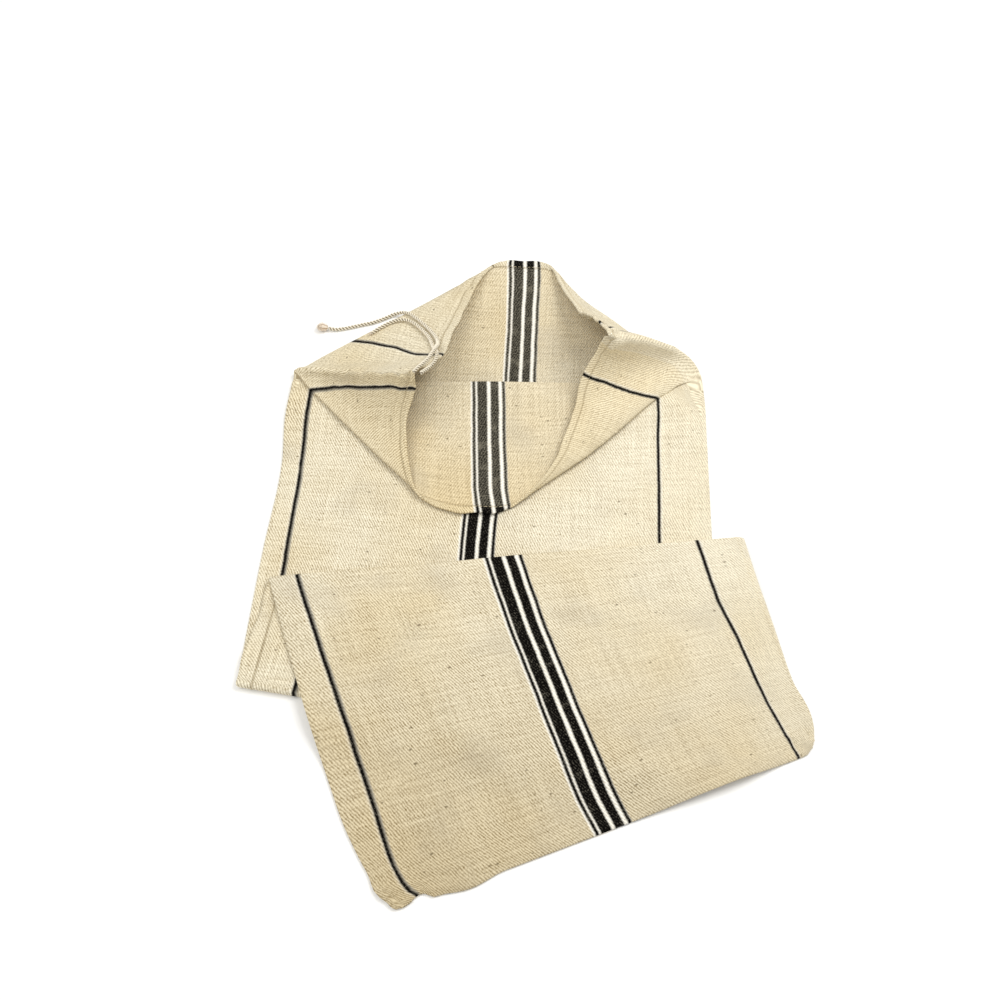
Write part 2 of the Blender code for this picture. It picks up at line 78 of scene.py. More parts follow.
# The hem of the opened mouth, from the left corner to the right one.
# columns: x, y, height of the middle of the cloth
FRONT_HEM = (
    (-0.1335, 0.1900, 0.1000),
    (-0.1365, 0.1830, 0.0740),
    (-0.1445, 0.1640, 0.0480),
    (-0.1485, 0.1380, 0.0300),
    (-0.1435, 0.0960, 0.0190),
    (-0.1275, 0.0560, 0.0125),
    (-0.0985, 0.0420, 0.0100),
    (-0.0625, 0.0360, 0.0095),
    (-0.0265, 0.0380, 0.0095),
    (-0.0065, 0.0490, 0.0115),
    (0.0185, 0.0710, 0.0160),
    (0.0435, 0.1060, 0.0200),
    (0.0655, 0.1610, 0.0260),
    (0.0745, 0.1910, 0.0310),
    (0.0785, 0.2090, 0.0380),
    (0.0855, 0.2230, 0.0470),
    (0.0935, 0.2360, 0.0620),
    (0.1055, 0.2440, 0.0840),
    (0.1145, 0.2450, 0.1000),
)
BACK_HEM = (
    (-0.1335, 0.1900, 0.1000),
    (-0.1175, 0.2110, 0.0820),
    (-0.1015, 0.2380, 0.0620),
    (-0.0915, 0.2820, 0.0440),
    (-0.0755, 0.3350, 0.0280),
    (-0.0605, 0.3830, 0.0170),
    (-0.0265, 0.4340, 0.0060),
    (0.0075, 0.4370, 0.0030),
    (0.0415, 0.4320, 0.0060),
    (0.0575, 0.3850, 0.0200),
    (0.0705, 0.3430, 0.0380),
    (0.0825, 0.3090, 0.0560),
    (0.0955, 0.2860, 0.0750),
    (0.1075, 0.2600, 0.0920),
    (0.1145, 0.2450, 0.1000),
)

# How far the corners' lines bend towards +Y, from the corner to the hem.
# columns: share of the way to the hem, ridge, front crease, back crease
RIGHT_BENDS = (
    (0.00, 0.000, 0.000, 0.000),
    (0.12, 0.014, 0.007, -0.002),
    (0.25, 0.022, 0.010, -0.010),
    (0.40, 0.021, 0.005, -0.015),
    (0.60, 0.018, 0.000, -0.018),
    (0.80, 0.008, 0.000, -0.019),
    (0.92, 0.002, 0.000, -0.008),
    (1.00, 0.000, 0.000, 0.000),
)
LEFT_BENDS = (
    (0.00, 0.000, 0.000, 0.000),
    (0.40, 0.000, -0.004, 0.000),
    (0.70, 0.000, -0.003, 0.000),
    (0.90, 0.000, 0.000, 0.000),
    (1.00, 0.000, 0.000, 0.000),
)

# Where the woven stripes lie across the front panel: the cloth isn't spread quite evenly there.
# columns: distance down from the hem, shares across at the left, middle and right stripes
FRONT_STRIPES = (
    (0.00, 0.0465, 0.4765, 0.8830),
    (0.04, 0.0430, 0.4725, 0.8830),
    (0.11, 0.0415, 0.4735, 0.8790),
    (0.20, 0.0490, 0.4745, 0.8850),
    (0.25, 0.0530, 0.4760, 0.8890),
    (0.33, 0.0450, 0.4745, 0.8850),
    (0.41, 0.0485, 0.4735, 0.8830),
    (0.48, 0.0535, 0.4750, 0.8850),
    (0.90, 0.0590, 0.4890, 0.9020),
    (0.98, 0.0670, 0.4925, 0.9010),
    (1.06, 0.0725, 0.4995, 0.9150),
    (1.14, 0.0705, 0.5040, 0.9270),
    (1.20, 0.0500, 0.5010, 0.9450),
    (1.23, 0.0385, 0.4970, 0.9570),
)
# and across the back panel
BACK_STRIPES = (
    (0.00, 0.1150, 0.5580, 0.9530),
    (0.04, 0.1170, 0.5580, 0.9510),
    (0.07, 0.1350, 0.5555, 0.9510),
    (0.11, 0.1390, 0.5540, 0.9510),
    (0.18, 0.1250, 0.5500, 0.9510),
    (0.66, 0.1240, 0.5450, 0.9450),
    (1.23, 0.1100, 0.5400, 0.9300),
)
# How far the cloth of the front panel is turned over the tube's side edges to the back.
# columns: distance down from the hem, at the left, at the right
SIDE_TURNS = (
    (0.00, 0.0225, 0.0195),
    (0.45, 0.0205, 0.0195),
    (0.90, 0.0145, 0.0085),
    (1.23, 0.0145, 0.0000),
)

# The two strands of the tie, from the seam at the mouth's left corner to their free ends.
# columns: x, y, height of the middle of the cord
LONG_TIE = (
    (-0.1345, 0.1860, 0.1055),
    (-0.1295, 0.1950, 0.1022),
    (-0.1240, 0.2040, 0.0975),
    (-0.1185, 0.2140, 0.0925),
    (-0.1140, 0.2255, 0.0870),
    (-0.1105, 0.2375, 0.0805),
    (-0.1085, 0.2490, 0.0712),
    (-0.1080, 0.2600, 0.0590),
    (-0.1090, 0.2710, 0.0510),
    (-0.1125, 0.2825, 0.0447),
    (-0.1175, 0.2930, 0.0388),
    (-0.1235, 0.3040, 0.0330),
    (-0.1305, 0.3150, 0.0275),
    (-0.1375, 0.3250, 0.0225),
    (-0.1445, 0.3340, 0.0182),
    (-0.1520, 0.3420, 0.0140),
    (-0.1615, 0.3470, 0.0090),
    (-0.1720, 0.3470, 0.0050),
    (-0.1830, 0.3425, 0.0032),
    (-0.1935, 0.3375, 0.0029),
    (-0.2045, 0.3335, 0.0029),
    (-0.2165, 0.3305, 0.0029),
    (-0.2295, 0.3270, 0.0029),
    (-0.2415, 0.3242, 0.0029),
    (-0.2520, 0.3225, 0.0034),
    (-0.2620, 0.3234, 0.0048),
)
SHORT_TIE = (
    (-0.1260, 0.1890, 0.0985),
    (-0.1200, 0.1990, 0.0915),
    (-0.1135, 0.2110, 0.0840),
    (-0.1085, 0.2230, 0.0795),
    (-0.1075, 0.2340, 0.0757),
    (-0.1100, 0.2440, 0.0680),
    (-0.1135, 0.2560, 0.0565),
    (-0.1165, 0.2680, 0.0493),
    (-0.1200, 0.2800, 0.0433),
    (-0.1255, 0.2920, 0.0370),
    (-0.1320, 0.3030, 0.0312),
    (-0.1390, 0.3135, 0.0258),
    (-0.1465, 0.3220, 0.0215),
    (-0.1555, 0.3280, 0.0180),
    (-0.1660, 0.3295, 0.0155),
    (-0.1765, 0.3265, 0.0140),
    (-0.1865, 0.3205, 0.0137),
    (-0.1960, 0.3135, 0.0137),
    (-0.2025, 0.3080, 0.0140),
)


class Layer(Enum):
    """The stretches of the sack, from the hem down to its bottom."""

    MOUTH = 0
    LIP = 1
    UNDER = 2
    FIRST_FOLD = 3
    MIDDLE = 4
    SECOND_FOLD = 5
    TOP = 6
    BOTTOM = 7


# the layers that each name in the tables above stands for
LAYERS = {
    "mouth": (Layer.MOUTH, Layer.LIP),
    "front": (Layer.MOUTH,),
    "under": (Layer.UNDER,),
    "middle": (Layer.FIRST_FOLD, Layer.MIDDLE),
    "top": (Layer.SECOND_FOLD, Layer.TOP, Layer.BOTTOM),
}


class Face(Enum):
    """The two faces of the cloth."""

    OUTER = 0
    INNER = 1


# Soft creases seen in the cloth, each a trough where its height is below 0.
# columns: layers, start x and y, end x and y, width, height
CREASES = (
    ("top", 0.094, -0.094, 0.212, -0.028, 0.008, 0.0016),
    ("top", 0.100, -0.075, 0.190, -0.035, 0.012, -0.0018),
    ("top", -0.240, -0.082, -0.060, -0.060, 0.012, -0.0020),
    ("top", -0.262, -0.140, -0.218, -0.280, 0.010, -0.0010),
    ("top", -0.160, -0.330, 0.020, -0.300, 0.022, 0.0012),
    ("top", 0.110, -0.170, 0.290, -0.130, 0.020, 0.0010),
    ("top", 0.300, -0.090, 0.322, -0.170, 0.010, -0.0012),
    ("top", 0.060, -0.260, 0.200, -0.215, 0.018, -0.0010),
    ("front", -0.222, 0.243, -0.229, 0.219, 0.0045, -0.0044),
    ("front", -0.200, 0.236, -0.204, 0.210, 0.0045, -0.0040),
    ("front", -0.178, 0.226, -0.176, 0.200, 0.0050, -0.0050),
    ("front", -0.158, 0.214, -0.152, 0.186, 0.0045, -0.0040),
    ("front", -0.290, 0.248, -0.170, 0.219, 0.0060, 0.0034),
    ("front", 0.116, 0.216, 0.150, 0.206, 0.0060, -0.0022),
    ("front", 0.108, 0.196, 0.128, 0.150, 0.0060, -0.0020),
    ("front", 0.085, 0.168, 0.104, 0.118, 0.0050, 0.0018),
    ("front", 0.186, 0.203, 0.214, 0.236, 0.0080, -0.0030),
    ("front", 0.214, 0.236, 0.240, 0.232, 0.0080, -0.0022),
    ("front", 0.196, 0.196, 0.226, 0.222, 0.0080, 0.0020),
    ("under", -0.290, 0.190, -0.262, 0.060, 0.014, -0.0012),
    ("under", 0.170, 0.160, 0.226, 0.000, 0.016, -0.0012),
    ("under", -0.250, 0.020, -0.120, 0.004, 0.016, 0.0012),
    ("under", 0.188, 0.196, 0.246, 0.222, 0.011, 0.0034),
    ("under", 0.214, 0.196, 0.236, 0.120, 0.010, 0.0020),
    ("middle", -0.322, -0.180, -0.302, -0.070, 0.006, -0.0014),
    ("top", 0.3180, -0.2430, 0.3245, -0.2385, 0.0040, -0.0026),
    ("top", 0.3245, -0.2385, 0.3310, -0.2430, 0.0040, -0.0026),
    ("top", 0.3310, -0.2430, 0.3310, -0.2520, 0.0040, -0.0026),
    ("top", 0.3100, -0.2520, 0.3170, -0.2650, 0.0060, -0.0020),
)

# Places where the cloth has shifted as it was laid down.
# columns: layers, middle x and y, reach along x and y, shift along x, y and z
PUSHES = (
    ("top", -0.1130, -0.4340, 0.018, 0.026, 0.0000, 0.0095, 0.0000),
    ("top", -0.0540, -0.4150, 0.042, 0.026, 0.0000, -0.0058, 0.0000),
    ("top", -0.1560, -0.4300, 0.036, 0.036, -0.0065, -0.0050, 0.0020),
    ("top", -0.1380, -0.4500, 0.024, 0.020, -0.0030, 0.0030, 0.0000),
    ("top", 0.3330, -0.2150, 0.026, 0.040, 0.0060, 0.0000, 0.0000),
    ("top", 0.3400, -0.2650, 0.016, 0.014, -0.0040, 0.0045, 0.0000),
    ("top", 0.3200, -0.2450, 0.018, 0.022, 0.0000, 0.0000, 0.0030),
    ("mouth", 0.2480, 0.2400, 0.030, 0.030, -0.0035, -0.0025, 0.0000),
    ("under", 0.2480, 0.2400, 0.030, 0.030, -0.0035, -0.0025, 0.0000),
    ("mouth", -0.1423, 0.2018, 0.011, 0.010, 0.0060, -0.0030, 0.0030),
    ("mouth", 0.0927, 0.2598, 0.012, 0.010, -0.0040, -0.0030, 0.0040),
    ("middle", -0.3300, -0.1500, 0.014, 0.030, -0.0030, 0.0000, 0.0000),
    ("middle", -0.3200, -0.0950, 0.014, 0.026, 0.0025, 0.0000, 0.0000),
)

# Places where sharp corners of the lying cloth are rounded off.
# columns: middle x and y, reach along x and y, how many times it is eased
ROUNDED = (
    (0.246, 0.236, 0.050, 0.055, 60),
    (-0.300, 0.243, 0.024, 0.020, 25),
    (-0.135, -0.435, 0.030, 0.030, 6),
)

# Places on the front panel where a crease comes to its end and opens into a soft valley.
# columns: middle x and y, reach along x and y, how many times it is eased
OPENED = ((0.230, 0.230, 0.032, 0.034, 140),)

# Places where the cloth is crumpled.
# columns: layers, middle x, y and z, reach, height of the crumples, their size, seed
CRUMPLES = (
    ("mouth", 0.0980, 0.2540, 0.0900, 0.060, 0.0050, 0.019, 21),
    ("mouth", 0.0820, 0.2860, 0.0700, 0.050, 0.0052, 0.015, 22),
    ("mouth", -0.1400, 0.1950, 0.0900, 0.050, 0.0030, 0.020, 23),
    ("mouth", -0.1450, 0.1500, 0.0380, 0.032, 0.0016, 0.030, 24),
    ("mouth", 0.1000, 0.1900, 0.0400, 0.045, 0.0014, 0.028, 25),
    ("mouth", 0.2250, 0.2300, 0.0200, 0.045, 0.0018, 0.034, 26),
    ("mouth", -0.2150, 0.2250, 0.0500, 0.060, 0.0016, 0.026, 31),
    ("mouth", 0.1550, 0.2150, 0.0600, 0.060, 0.0018, 0.032, 32),
    ("mouth", -0.0600, 0.3900, 0.0150, 0.045, 0.0012, 0.022, 27),
    ("mouth", 0.0500, 0.4050, 0.0150, 0.045, 0.0014, 0.022, 28),
    ("top", -0.1440, -0.4300, 0.0120, 0.030, 0.0014, 0.022, 29),
    ("top", 0.3220, -0.2480, 0.0120, 0.026, 0.0020, 0.016, 30),
)

# ---- curves and steps -----------------------------------------------------------------------------


def soft_step(x: np.ndarray) -> np.ndarray:
    """0 below 0, 1 above 1, and a smooth step between."""
    x = np.clip(x, 0.0, 1.0)
    return x * x * (3.0 - 2.0 * x)


def ramp(x: np.ndarray, softness: float) -> np.ndarray:
    """x where x is well above 0, nothing well below it, and a soft bend between."""
    return 0.5 * (x + np.sqrt(x * x + softness * softness))


def through(marks: np.ndarray, points: np.ndarray, at: np.ndarray) -> np.ndarray:
    """A smooth curve through points at given marks.

    Args:
        marks: one rising number for each point.
        points: the points, one a row.
        at: the marks to read the curve at.

    Returns:
        The curve's points there, one a row.
    """
    at = np.clip(at, marks[0], marks[-1])
    slopes = np.gradient(points, marks, axis=0)
    i = np.clip(np.searchsorted(marks, at, side="right") - 1, 0, len(marks) - 2)
    span = (marks[i + 1] - marks[i])[:, None]
    s = (at - marks[i])[:, None] / span
    step = points[i + 1] - points[i]
    start = slopes[i] * span
    end = slopes[i + 1] * span
    return points[i] + s * (start + s * (3 * step - 2 * start - end + s * (start + end - 2 * step)))


def read(at: float | np.ndarray, marks: np.ndarray, table: np.ndarray) -> np.ndarray:
    """A table's rows at places between their marks, by straight lines."""
    return np.stack([np.interp(at, marks, column) for column in table.T], axis=-1)


def distances(points: np.ndarray) -> np.ndarray:
    """How far along the line through them all each point lies."""
    return np.concatenate([[0.0], np.cumsum(np.linalg.norm(np.diff(points, axis=0), axis=1))])


def marks_along(points: np.ndarray) -> np.ndarray:
    """Each point's share of the length of the line through them all."""
    far = distances(points)
    return far / far[-1]


def unit(vectors: np.ndarray) -> np.ndarray:
    """The vectors at length 1."""
    return vectors / np.maximum(np.linalg.norm(vectors, axis=-1, keepdims=True), 1e-12)


def linear(hex_colour: str) -> tuple[float, float, float, float]:
    """An sRGB hex colour such as "#E3D6B6" as the linear colour that a shader takes."""
    parts = [int(hex_colour[i : i + 2], 16) / 255 for i in (1, 3, 5)]
    red, green, blue = (c / 12.92 if c <= 0.04045 else ((c + 0.055) / 1.055) ** 2.4 for c in parts)
    return red, green, blue, 1.0


@dataclass(frozen=True)
class Swell:
    """A gentle unevenness: a sum of waves in many directions, from -1 to 1 or so."""

    wavelength: float
    seed: int
    waves: int = 9

    def at(self, x: np.ndarray, y: np.ndarray) -> np.ndarray:
        """The unevenness at points."""
        draw = np.random.default_rng(self.seed)
        total = np.zeros(np.shape(x))
        for _ in range(self.waves):
            heading, phase = draw.uniform(0.0, 2.0 * math.pi, 2)
            turns = 2.0 * math.pi / (self.wavelength * draw.uniform(0.7, 1.6))
            total += np.sin(turns * (x * math.cos(heading) + y * math.sin(heading)) + phase)
        return total * math.sqrt(2.0 / self.waves) / 2.0


# ---- how the tube lies ----------------------------------------------------------------------------


@dataclass(frozen=True)
class Lay:
    """The folds in which the flat tube lies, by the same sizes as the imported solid."""

    tube_width: float = 0.566  # of the tube where it lies flat
    cloth: float = 0.0016  # thickness of the woven cloth
    half_tube: float = 0.0019  # from the middle of the flat tube to the middle of each panel's cloth
    fold_radius: float = 0.0035  # of the folds that lay the tube over itself
    side_roll: float = 0.006  # how wide its side edges are rounded
    bottom_roll: float = 0.010  # and its closed bottom
    lip_radius: float = 0.0015  # of the fold over which the mouth's front is turned down
    back_clear: float = 0.004  # how far the back panel lies past that fold
    ridge_clear: float = 0.005  # how far the corners' ridges keep clear of it
    ridge_clear_end: float = 0.3
    lip_rise: float = 0.013  # the bulge in the middle of that fold, its reach and its dip towards -Y
    lip_rise_wide: float = 0.17
    lip_rise_long: float = 0.11
    lip_dip: float = 0.018
    lip_swell: float = 0.003
    crease_gap: float = 0.0034  # under the corners that are turned over
    crease_soft: float = 0.03  # how soft the slanting creases are at the hem
    crease_sharp: float = 0.0005  # and at their start
    crease_start: float = 0.10
    right_soft: float = 0.020  # how much softer the right corner's creases are near their start
    right_soft_end: float = 0.70
    drape: float = 0.085  # past the edge of a layer under it, where the cloth reaches the floor
    drape_clear: float = 0.018  # and where it starts to sink
    edge_columns: int = 22  # from a side edge in to the crease
    face_columns: int = 60  # between the creases
    crowding: float = 0.35  # how much closer those stand near the creases

    @property
    def layer_step(self) -> float:
        """The height of a fold."""
        return 2 * self.fold_radius

    @property
    def low_middle(self) -> float:
        """Height of the middle of the tube on the floor."""
        return self.half_tube + self.cloth / 2

    @property
    def edge_share(self) -> float:
        """The rolled side edge's share of the width."""
        return self.side_roll / self.tube_width

    def edge_marks(self) -> np.ndarray:
        """Shares of the way from a side edge in to the crease."""
        return np.arange(self.edge_columns) / self.edge_columns

    def face_marks(self) -> np.ndarray:
        """Shares of the way from one crease to the other."""
        t = np.linspace(0.0, 1.0, self.face_columns)
        return t - self.crowding * np.sin(2 * math.pi * t) / (2 * math.pi)

    def plan(self, section: tuple, across: np.ndarray, share: np.ndarray) -> np.ndarray:
        """Where points of the flat tube lie, from their shares across it and down a section."""
        table = np.array(section)
        edges = through(table[:, 0], table[:, 1:], share)
        across = across[:, None]
        points = edges[:, :2] * (1.0 - across) + edges[:, 2:] * across
        if section is UNDER_SECTION:
            dip = self.lip_dip * (1.0 - (2.0 * across[:, 0] - 1.0) ** 2) ** 2
            points[:, 1] -= dip * (1.0 - share) ** 4
        return points

    def lengths(self, section: tuple, across: np.ndarray) -> np.ndarray:
        """The length of a section at each share across it."""
        ends = self.plan(section, across, np.ones(len(across)))
        return np.linalg.norm(ends - self.plan(section, across, np.zeros(len(across))), axis=1)

    @staticmethod
    def left_of(points: np.ndarray, start: tuple, end: tuple) -> np.ndarray:
        """How far points lie to the left of the line from start to end."""
        along = np.array(end) - np.array(start)
        along /= np.linalg.norm(along)
        away = points - np.array(start)
        return along[0] * away[:, 1] - along[1] * away[:, 0]

    def carried(self, points: np.ndarray, section: tuple) -> np.ndarray:
        """1 where a layer lies over a section, sinking to 0 past that section's edges."""
        _, *first = section[0]
        _, *last = section[-1]
        corners = [first[:2], first[2:], last[2:], last[:2]]
        if self.left_of(np.array([corners[2]]), corners[0], corners[1])[0] < 0.0:
            corners.reverse()
        share = np.ones(len(points))
        for i, corner in enumerate(corners):
            side = self.left_of(points, corner, corners[(i + 1) % 4])
            share *= soft_step((side + self.drape) / (self.drape - self.drape_clear))
        return share

    def middle_height(self, points: np.ndarray, level: int) -> np.ndarray:
        """Height of the middle of the tube: level 0 lies on the floor, 1 over it, 2 over both."""
        height = np.full(len(points), self.low_middle)
        if level > 0:
            height += self.layer_step * self.carried(points, UNDER_SECTION)
        if level > 1:
            height += self.layer_step * self.carried(points, MIDDLE_SECTION)
        return height

    def lip_middle(self) -> np.ndarray:
        """The middle of the lip's fold, from above."""
        return self.plan(UNDER_SECTION, np.array([0.5]), np.zeros(1))[0]

    def near_lip(self, points: np.ndarray) -> np.ndarray:
        """1 along the fold of the lip, falling to 0 on both sides of it."""
        return soft_step(1.0 - np.abs(points[:, 1] - self.lip_middle()[1]) / self.lip_rise_long)

    def front_height(self, points: np.ndarray, fullness: np.ndarray) -> np.ndarray:
        """Height of the front panel's cloth where the tube lies on the floor."""
        across = soft_step(1.0 - np.abs(points[:, 0] - self.lip_middle()[0]) / self.lip_rise_wide)
        rise = fullness * self.lip_rise * across + (1.0 + fullness) / 2 * self.lip_swell
        return self.low_middle + fullness * self.half_tube + rise * self.near_lip(points)

    def back_height(self, points: np.ndarray, fullness: np.ndarray) -> np.ndarray:
        """Height of the back panel's cloth there."""
        rise = (1.0 - fullness) / 2 * self.lip_swell
        return self.low_middle - fullness * self.half_tube + rise * self.near_lip(points)

    def columns(self) -> tuple[np.ndarray, np.ndarray]:
        """Each column's share across the flat tube, and how full the tube is there."""
        turns = math.pi / 2 * self.edge_marks()
        edge = self.edge_share * (1.0 - np.cos(turns))
        face = self.edge_share + (1.0 - 2.0 * self.edge_share) * self.face_marks()
        across = np.concatenate([edge, face, 1.0 - edge[::-1]])
        fullness = np.concatenate([np.sin(turns), np.ones(len(face)), np.sin(turns)[::-1]])
        return across, fullness

    def flat_row(self, section: tuple, level: int, share: float, closing: float = 1.0) -> tuple:
        """The front and back panels' points in a row of the flat tube."""
        across, fullness = self.columns()
        points = self.plan(section, across, share * np.ones(len(across)))
        middle = self.middle_height(points, level)
        half = self.half_tube * fullness * closing
        if level == 0:
            front = self.front_height(points, fullness)
            back = self.back_height(points, fullness)
            return np.column_stack([points, front]), np.column_stack([points, back])
        if level == 1:
            half = -half
        return np.column_stack([points, middle + half]), np.column_stack([points, middle - half])

    def folded_row(self, before: tuple, after: tuple, level: int, angle: float) -> list:
        """A row of the fold between two sections, at an angle from -90 degrees to 90."""
        across, fullness = self.columns()
        turn = math.radians(angle)
        section, end = (before, 1.0) if angle < 0 else (after, 0.0)
        line = self.plan(section, across, np.full(len(across), end))
        low = self.middle_height(line, level)
        high = self.middle_height(line, level + 1)
        radius = (high - low) / 2
        rows = []
        for outward in (-1.0, 1.0) if level == 0 else (1.0, -1.0):
            reach = radius + outward * self.half_tube * fullness
            inset = radius + self.half_tube - reach * math.cos(turn)
            points = self.plan(section, across, np.abs(end - inset / self.lengths(section, across)))
            rows.append(np.column_stack([points, (low + high) / 2 + reach * math.sin(turn)]))
        return rows


@dataclass
class MouthPanel:
    """One panel past the lip's fold: its flap, and the corners turned over at its two ends."""

    lay: Lay
    table: tuple  # of its hem
    crease_rows: tuple[int, int]  # the rows of that table where its two slanting creases end
    down: bool  # whether the flap is folded down over the tube

    def __post_init__(self) -> None:
        """Measure the hem."""
        self.hem = np.array(self.table)
        self.marks = marks_along(self.hem)
        left, right = self.marks[list(self.crease_rows)]
        self.crease_ends = (left, 1.0 - right)
        hem_middle = through(self.marks, self.hem, np.array([0.5]))[0, 1]
        self.depth = hem_middle - self.lay.lip_middle()[1]

    def crease(self, side: int, share: float) -> float:
        """The share across the panel from a side to its slanting crease, in a row."""
        return math.hypot(self.crease_ends[side] * share, self.lay.edge_share)

    def bends(self, side: int, share: float) -> tuple[float, float]:
        """How far a side's ridge and crease bend towards +Y, in a row."""
        table = np.array((LEFT_BENDS, RIGHT_BENDS)[side])
        ridge, front_crease, back_crease = through(table[:, 0], table[:, 1:], np.array([share]))[0]
        return ridge, front_crease if self.down else back_crease

    def base(self, points: np.ndarray, turned: float) -> np.ndarray:
        """Height of the flap as it lies, turned being 1 once the lip is folded over."""
        _, left, _, right, _ = UNDER_SECTION[0]
        inside = np.minimum(points[:, 0] - left, right - points[:, 0]) / self.lay.side_roll
        fullness = np.sqrt(1.0 - (1.0 - np.clip(inside, 0.0, 1.0)) ** 2)
        if self.down:
            return self.lay.front_height(points, fullness) + turned * 2 * self.lay.lip_radius
        return self.lay.back_height(points, fullness)

    def flap(self, across: np.ndarray, hem_across: np.ndarray, share: float, turned: float) -> np.ndarray:
        """Points of the flap between the creases."""
        lay = self.lay
        fold = lay.plan(UNDER_SECTION, across, np.zeros(len(across)))
        hem_fold = lay.plan(UNDER_SECTION, hem_across, np.zeros(len(across)))
        if self.down:
            fold[:, 1] -= lay.lip_radius * (1.0 - math.cos(math.asin(2.0 * turned - 1.0)))
            hem_fold[:, 1] -= lay.lip_radius
        else:
            fold[:, 1] += turned * (lay.lip_radius + lay.back_clear) - lay.lip_radius
        hem_fold[:, 1] += self.depth
        hem = through(self.marks, self.hem, hem_across)
        points = fold + share * (hem[:, :2] - hem_fold)
        points[:, 1] += share * self.depth
        height = self.base(points, turned) + share * (hem[:, 2] - self.base(hem[:, :2], 1.0))
        return np.column_stack([points, height])

    def corner(
        self, side: int, inward: np.ndarray, share: float, turned: float, ridge: tuple | None
    ) -> tuple[np.ndarray, tuple]:
        """The corner turned over at a side.

        Args:
            side: 0 at the left and 1 at the right.
            inward: each point's share of the way from the side to the crease.
            share: the row's share of the way from the lip's fold to the hem.
            turned: 1 once the lip is folded over.
            ridge: the other panel's heights at the side, in this row and at the hem, or None.

        Returns:
            The points, and this panel's two heights at the side.
        """
        lay = self.lay
        corner = lay.plan(UNDER_SECTION, np.array([float(side)]), np.zeros(1))[0]
        hem = through(self.marks, self.hem, np.abs(side - inward * self.crease(side, 1.0)))
        roll = (self.crease(side, share) - self.crease_ends[side] * share) * lay.tube_width
        points = corner + share * (hem[:, :2] - corner)
        points[:, 0] += (1.0 - 2.0 * side) * roll * (1.0 - np.cos(math.pi / 2 * inward))
        ridge_bend, crease_bend = self.bends(side, share)
        points[:, 1] += ridge_bend + inward * (crease_bend - ridge_bend)
        clear = turned * (1.0 - soft_step(share / lay.ridge_clear_end))
        points[:, 1] += clear * (1.0 - inward) * lay.ridge_clear - lay.lip_radius * (1.0 - turned)
        gap = turned * lay.crease_gap
        if not self.down:
            gap *= soft_step(share / lay.crease_start)
        base = self.base(points, turned) + gap
        hem_base = self.base(hem[:, :2], 1.0) + lay.crease_gap
        if ridge is not None:
            rise = turned * (1.0 - inward)
            base += rise * (ridge[0] - base)
            hem_base += rise * (ridge[1] - hem_base)
        height = base + share * (hem[:, 2] - hem_base)
        return np.column_stack([points, height]), (base[-side], hem_base[-side])

    def row(self, share: float, turned: float, ridges: tuple) -> tuple:
        """The panel's points in a row, their shares across it, and its heights at both sides."""
        lay = self.lay
        creases = [self.crease(side, share) for side in (0, 1)]
        hem_creases = [self.crease(side, 1.0) for side in (0, 1)]
        softs = [lay.crease_soft * share + lay.crease_sharp] * 2
        softs[1] += lay.right_soft * math.sin(math.pi * min(share / lay.right_soft_end, 1.0)) ** 2
        edge = lay.edge_marks()
        face = creases[0] + (1.0 - sum(creases)) * lay.face_marks()
        across = np.concatenate([edge * creases[0], face, 1.0 - edge[::-1] * creases[1]])
        beyond = [across - creases[0], 1.0 - across - creases[1]]
        inside = across + (ramp(beyond[0], softs[0]) - beyond[0]) - (ramp(beyond[1], softs[1]) - beyond[1])
        flap_share = (inside - creases[0]) / (1.0 - sum(creases))
        hem_inside = hem_creases[0] + (1.0 - sum(hem_creases)) * flap_share
        points = self.flap(inside, hem_inside, share, turned)
        found = []
        for side in (0, 1):
            soft = softs[side]
            inward = (creases[side] - ramp(-beyond[side], soft)) / creases[side]
            inward = np.clip(inward, 0.0, 1.0)
            turned_over, ridge = self.corner(side, inward, share, turned, ridges[side])
            at_crease, _ = self.corner(side, np.ones(2), share, turned, ridges[side])
            over = soft_step(0.5 - beyond[side] / (2.0 * soft))
            points[:, :2] += turned_over[:, :2] - at_crease[0, :2]
            near = np.clip(np.abs(1.0 - side - flap_share), 0.0, 1.0)
            points[:, 1] += near**2 * self.bends(side, share)[1]
            points[:, 2] += over * (turned_over[:, 2] - points[:, 2])
            found.append(ridge)
        return points, across, found


@dataclass
class Row:
    """A row of the tube, all the way round it."""

    layer: Layer
    share: float
    front: np.ndarray
    back: np.ndarray
    front_across: np.ndarray
    back_across: np.ndarray


# ---- materials ------------------------------------------------------------------------------------

Socket = bpy.types.NodeSocket
# the kinds of node used most
MATH, VECTOR, NOISE, MIX, SPAN = (
    "ShaderNode" + kind for kind in ("Math", "VectorMath", "TexNoise", "Mix", "MapRange")
)


def add(tree: bpy.types.NodeTree, kind: str, links: dict | None = None, out: int | str = 0, **settings):
    """Add a node.

    Args:
        tree: the tree it goes into.
        kind: its type.
        links: its inputs, by name or number, as other nodes' sockets or as values.
        out: the output wanted, by name or number.
        settings: its own settings.

    Returns:
        That output's socket, or the node where it has none.
    """
    node = tree.nodes.new(kind)
    for name, value in settings.items():
        setattr(node, name, value)
    for name, value in (links or {}).items():
        if isinstance(value, Socket):
            tree.links.new(value, node.inputs[name])
        else:
            node.inputs[name].default_value = value
    return node.outputs[out] if len(node.outputs) else node


def empty_material(name: str) -> tuple[bpy.types.Material, partial]:
    """A new material with an empty tree, and what adds a node to it."""
    material = bpy.data.materials.new(name)
    material.use_nodes = True
    material.node_tree.nodes.clear()
    return material, partial(add, material.node_tree)


def between(*values: Socket | float) -> dict:
    """A span's inputs: what is read, where the span starts and ends, and the values there."""
    return dict(zip(("Value", "From Min", "From Max", "To Min", "To Max"), values))


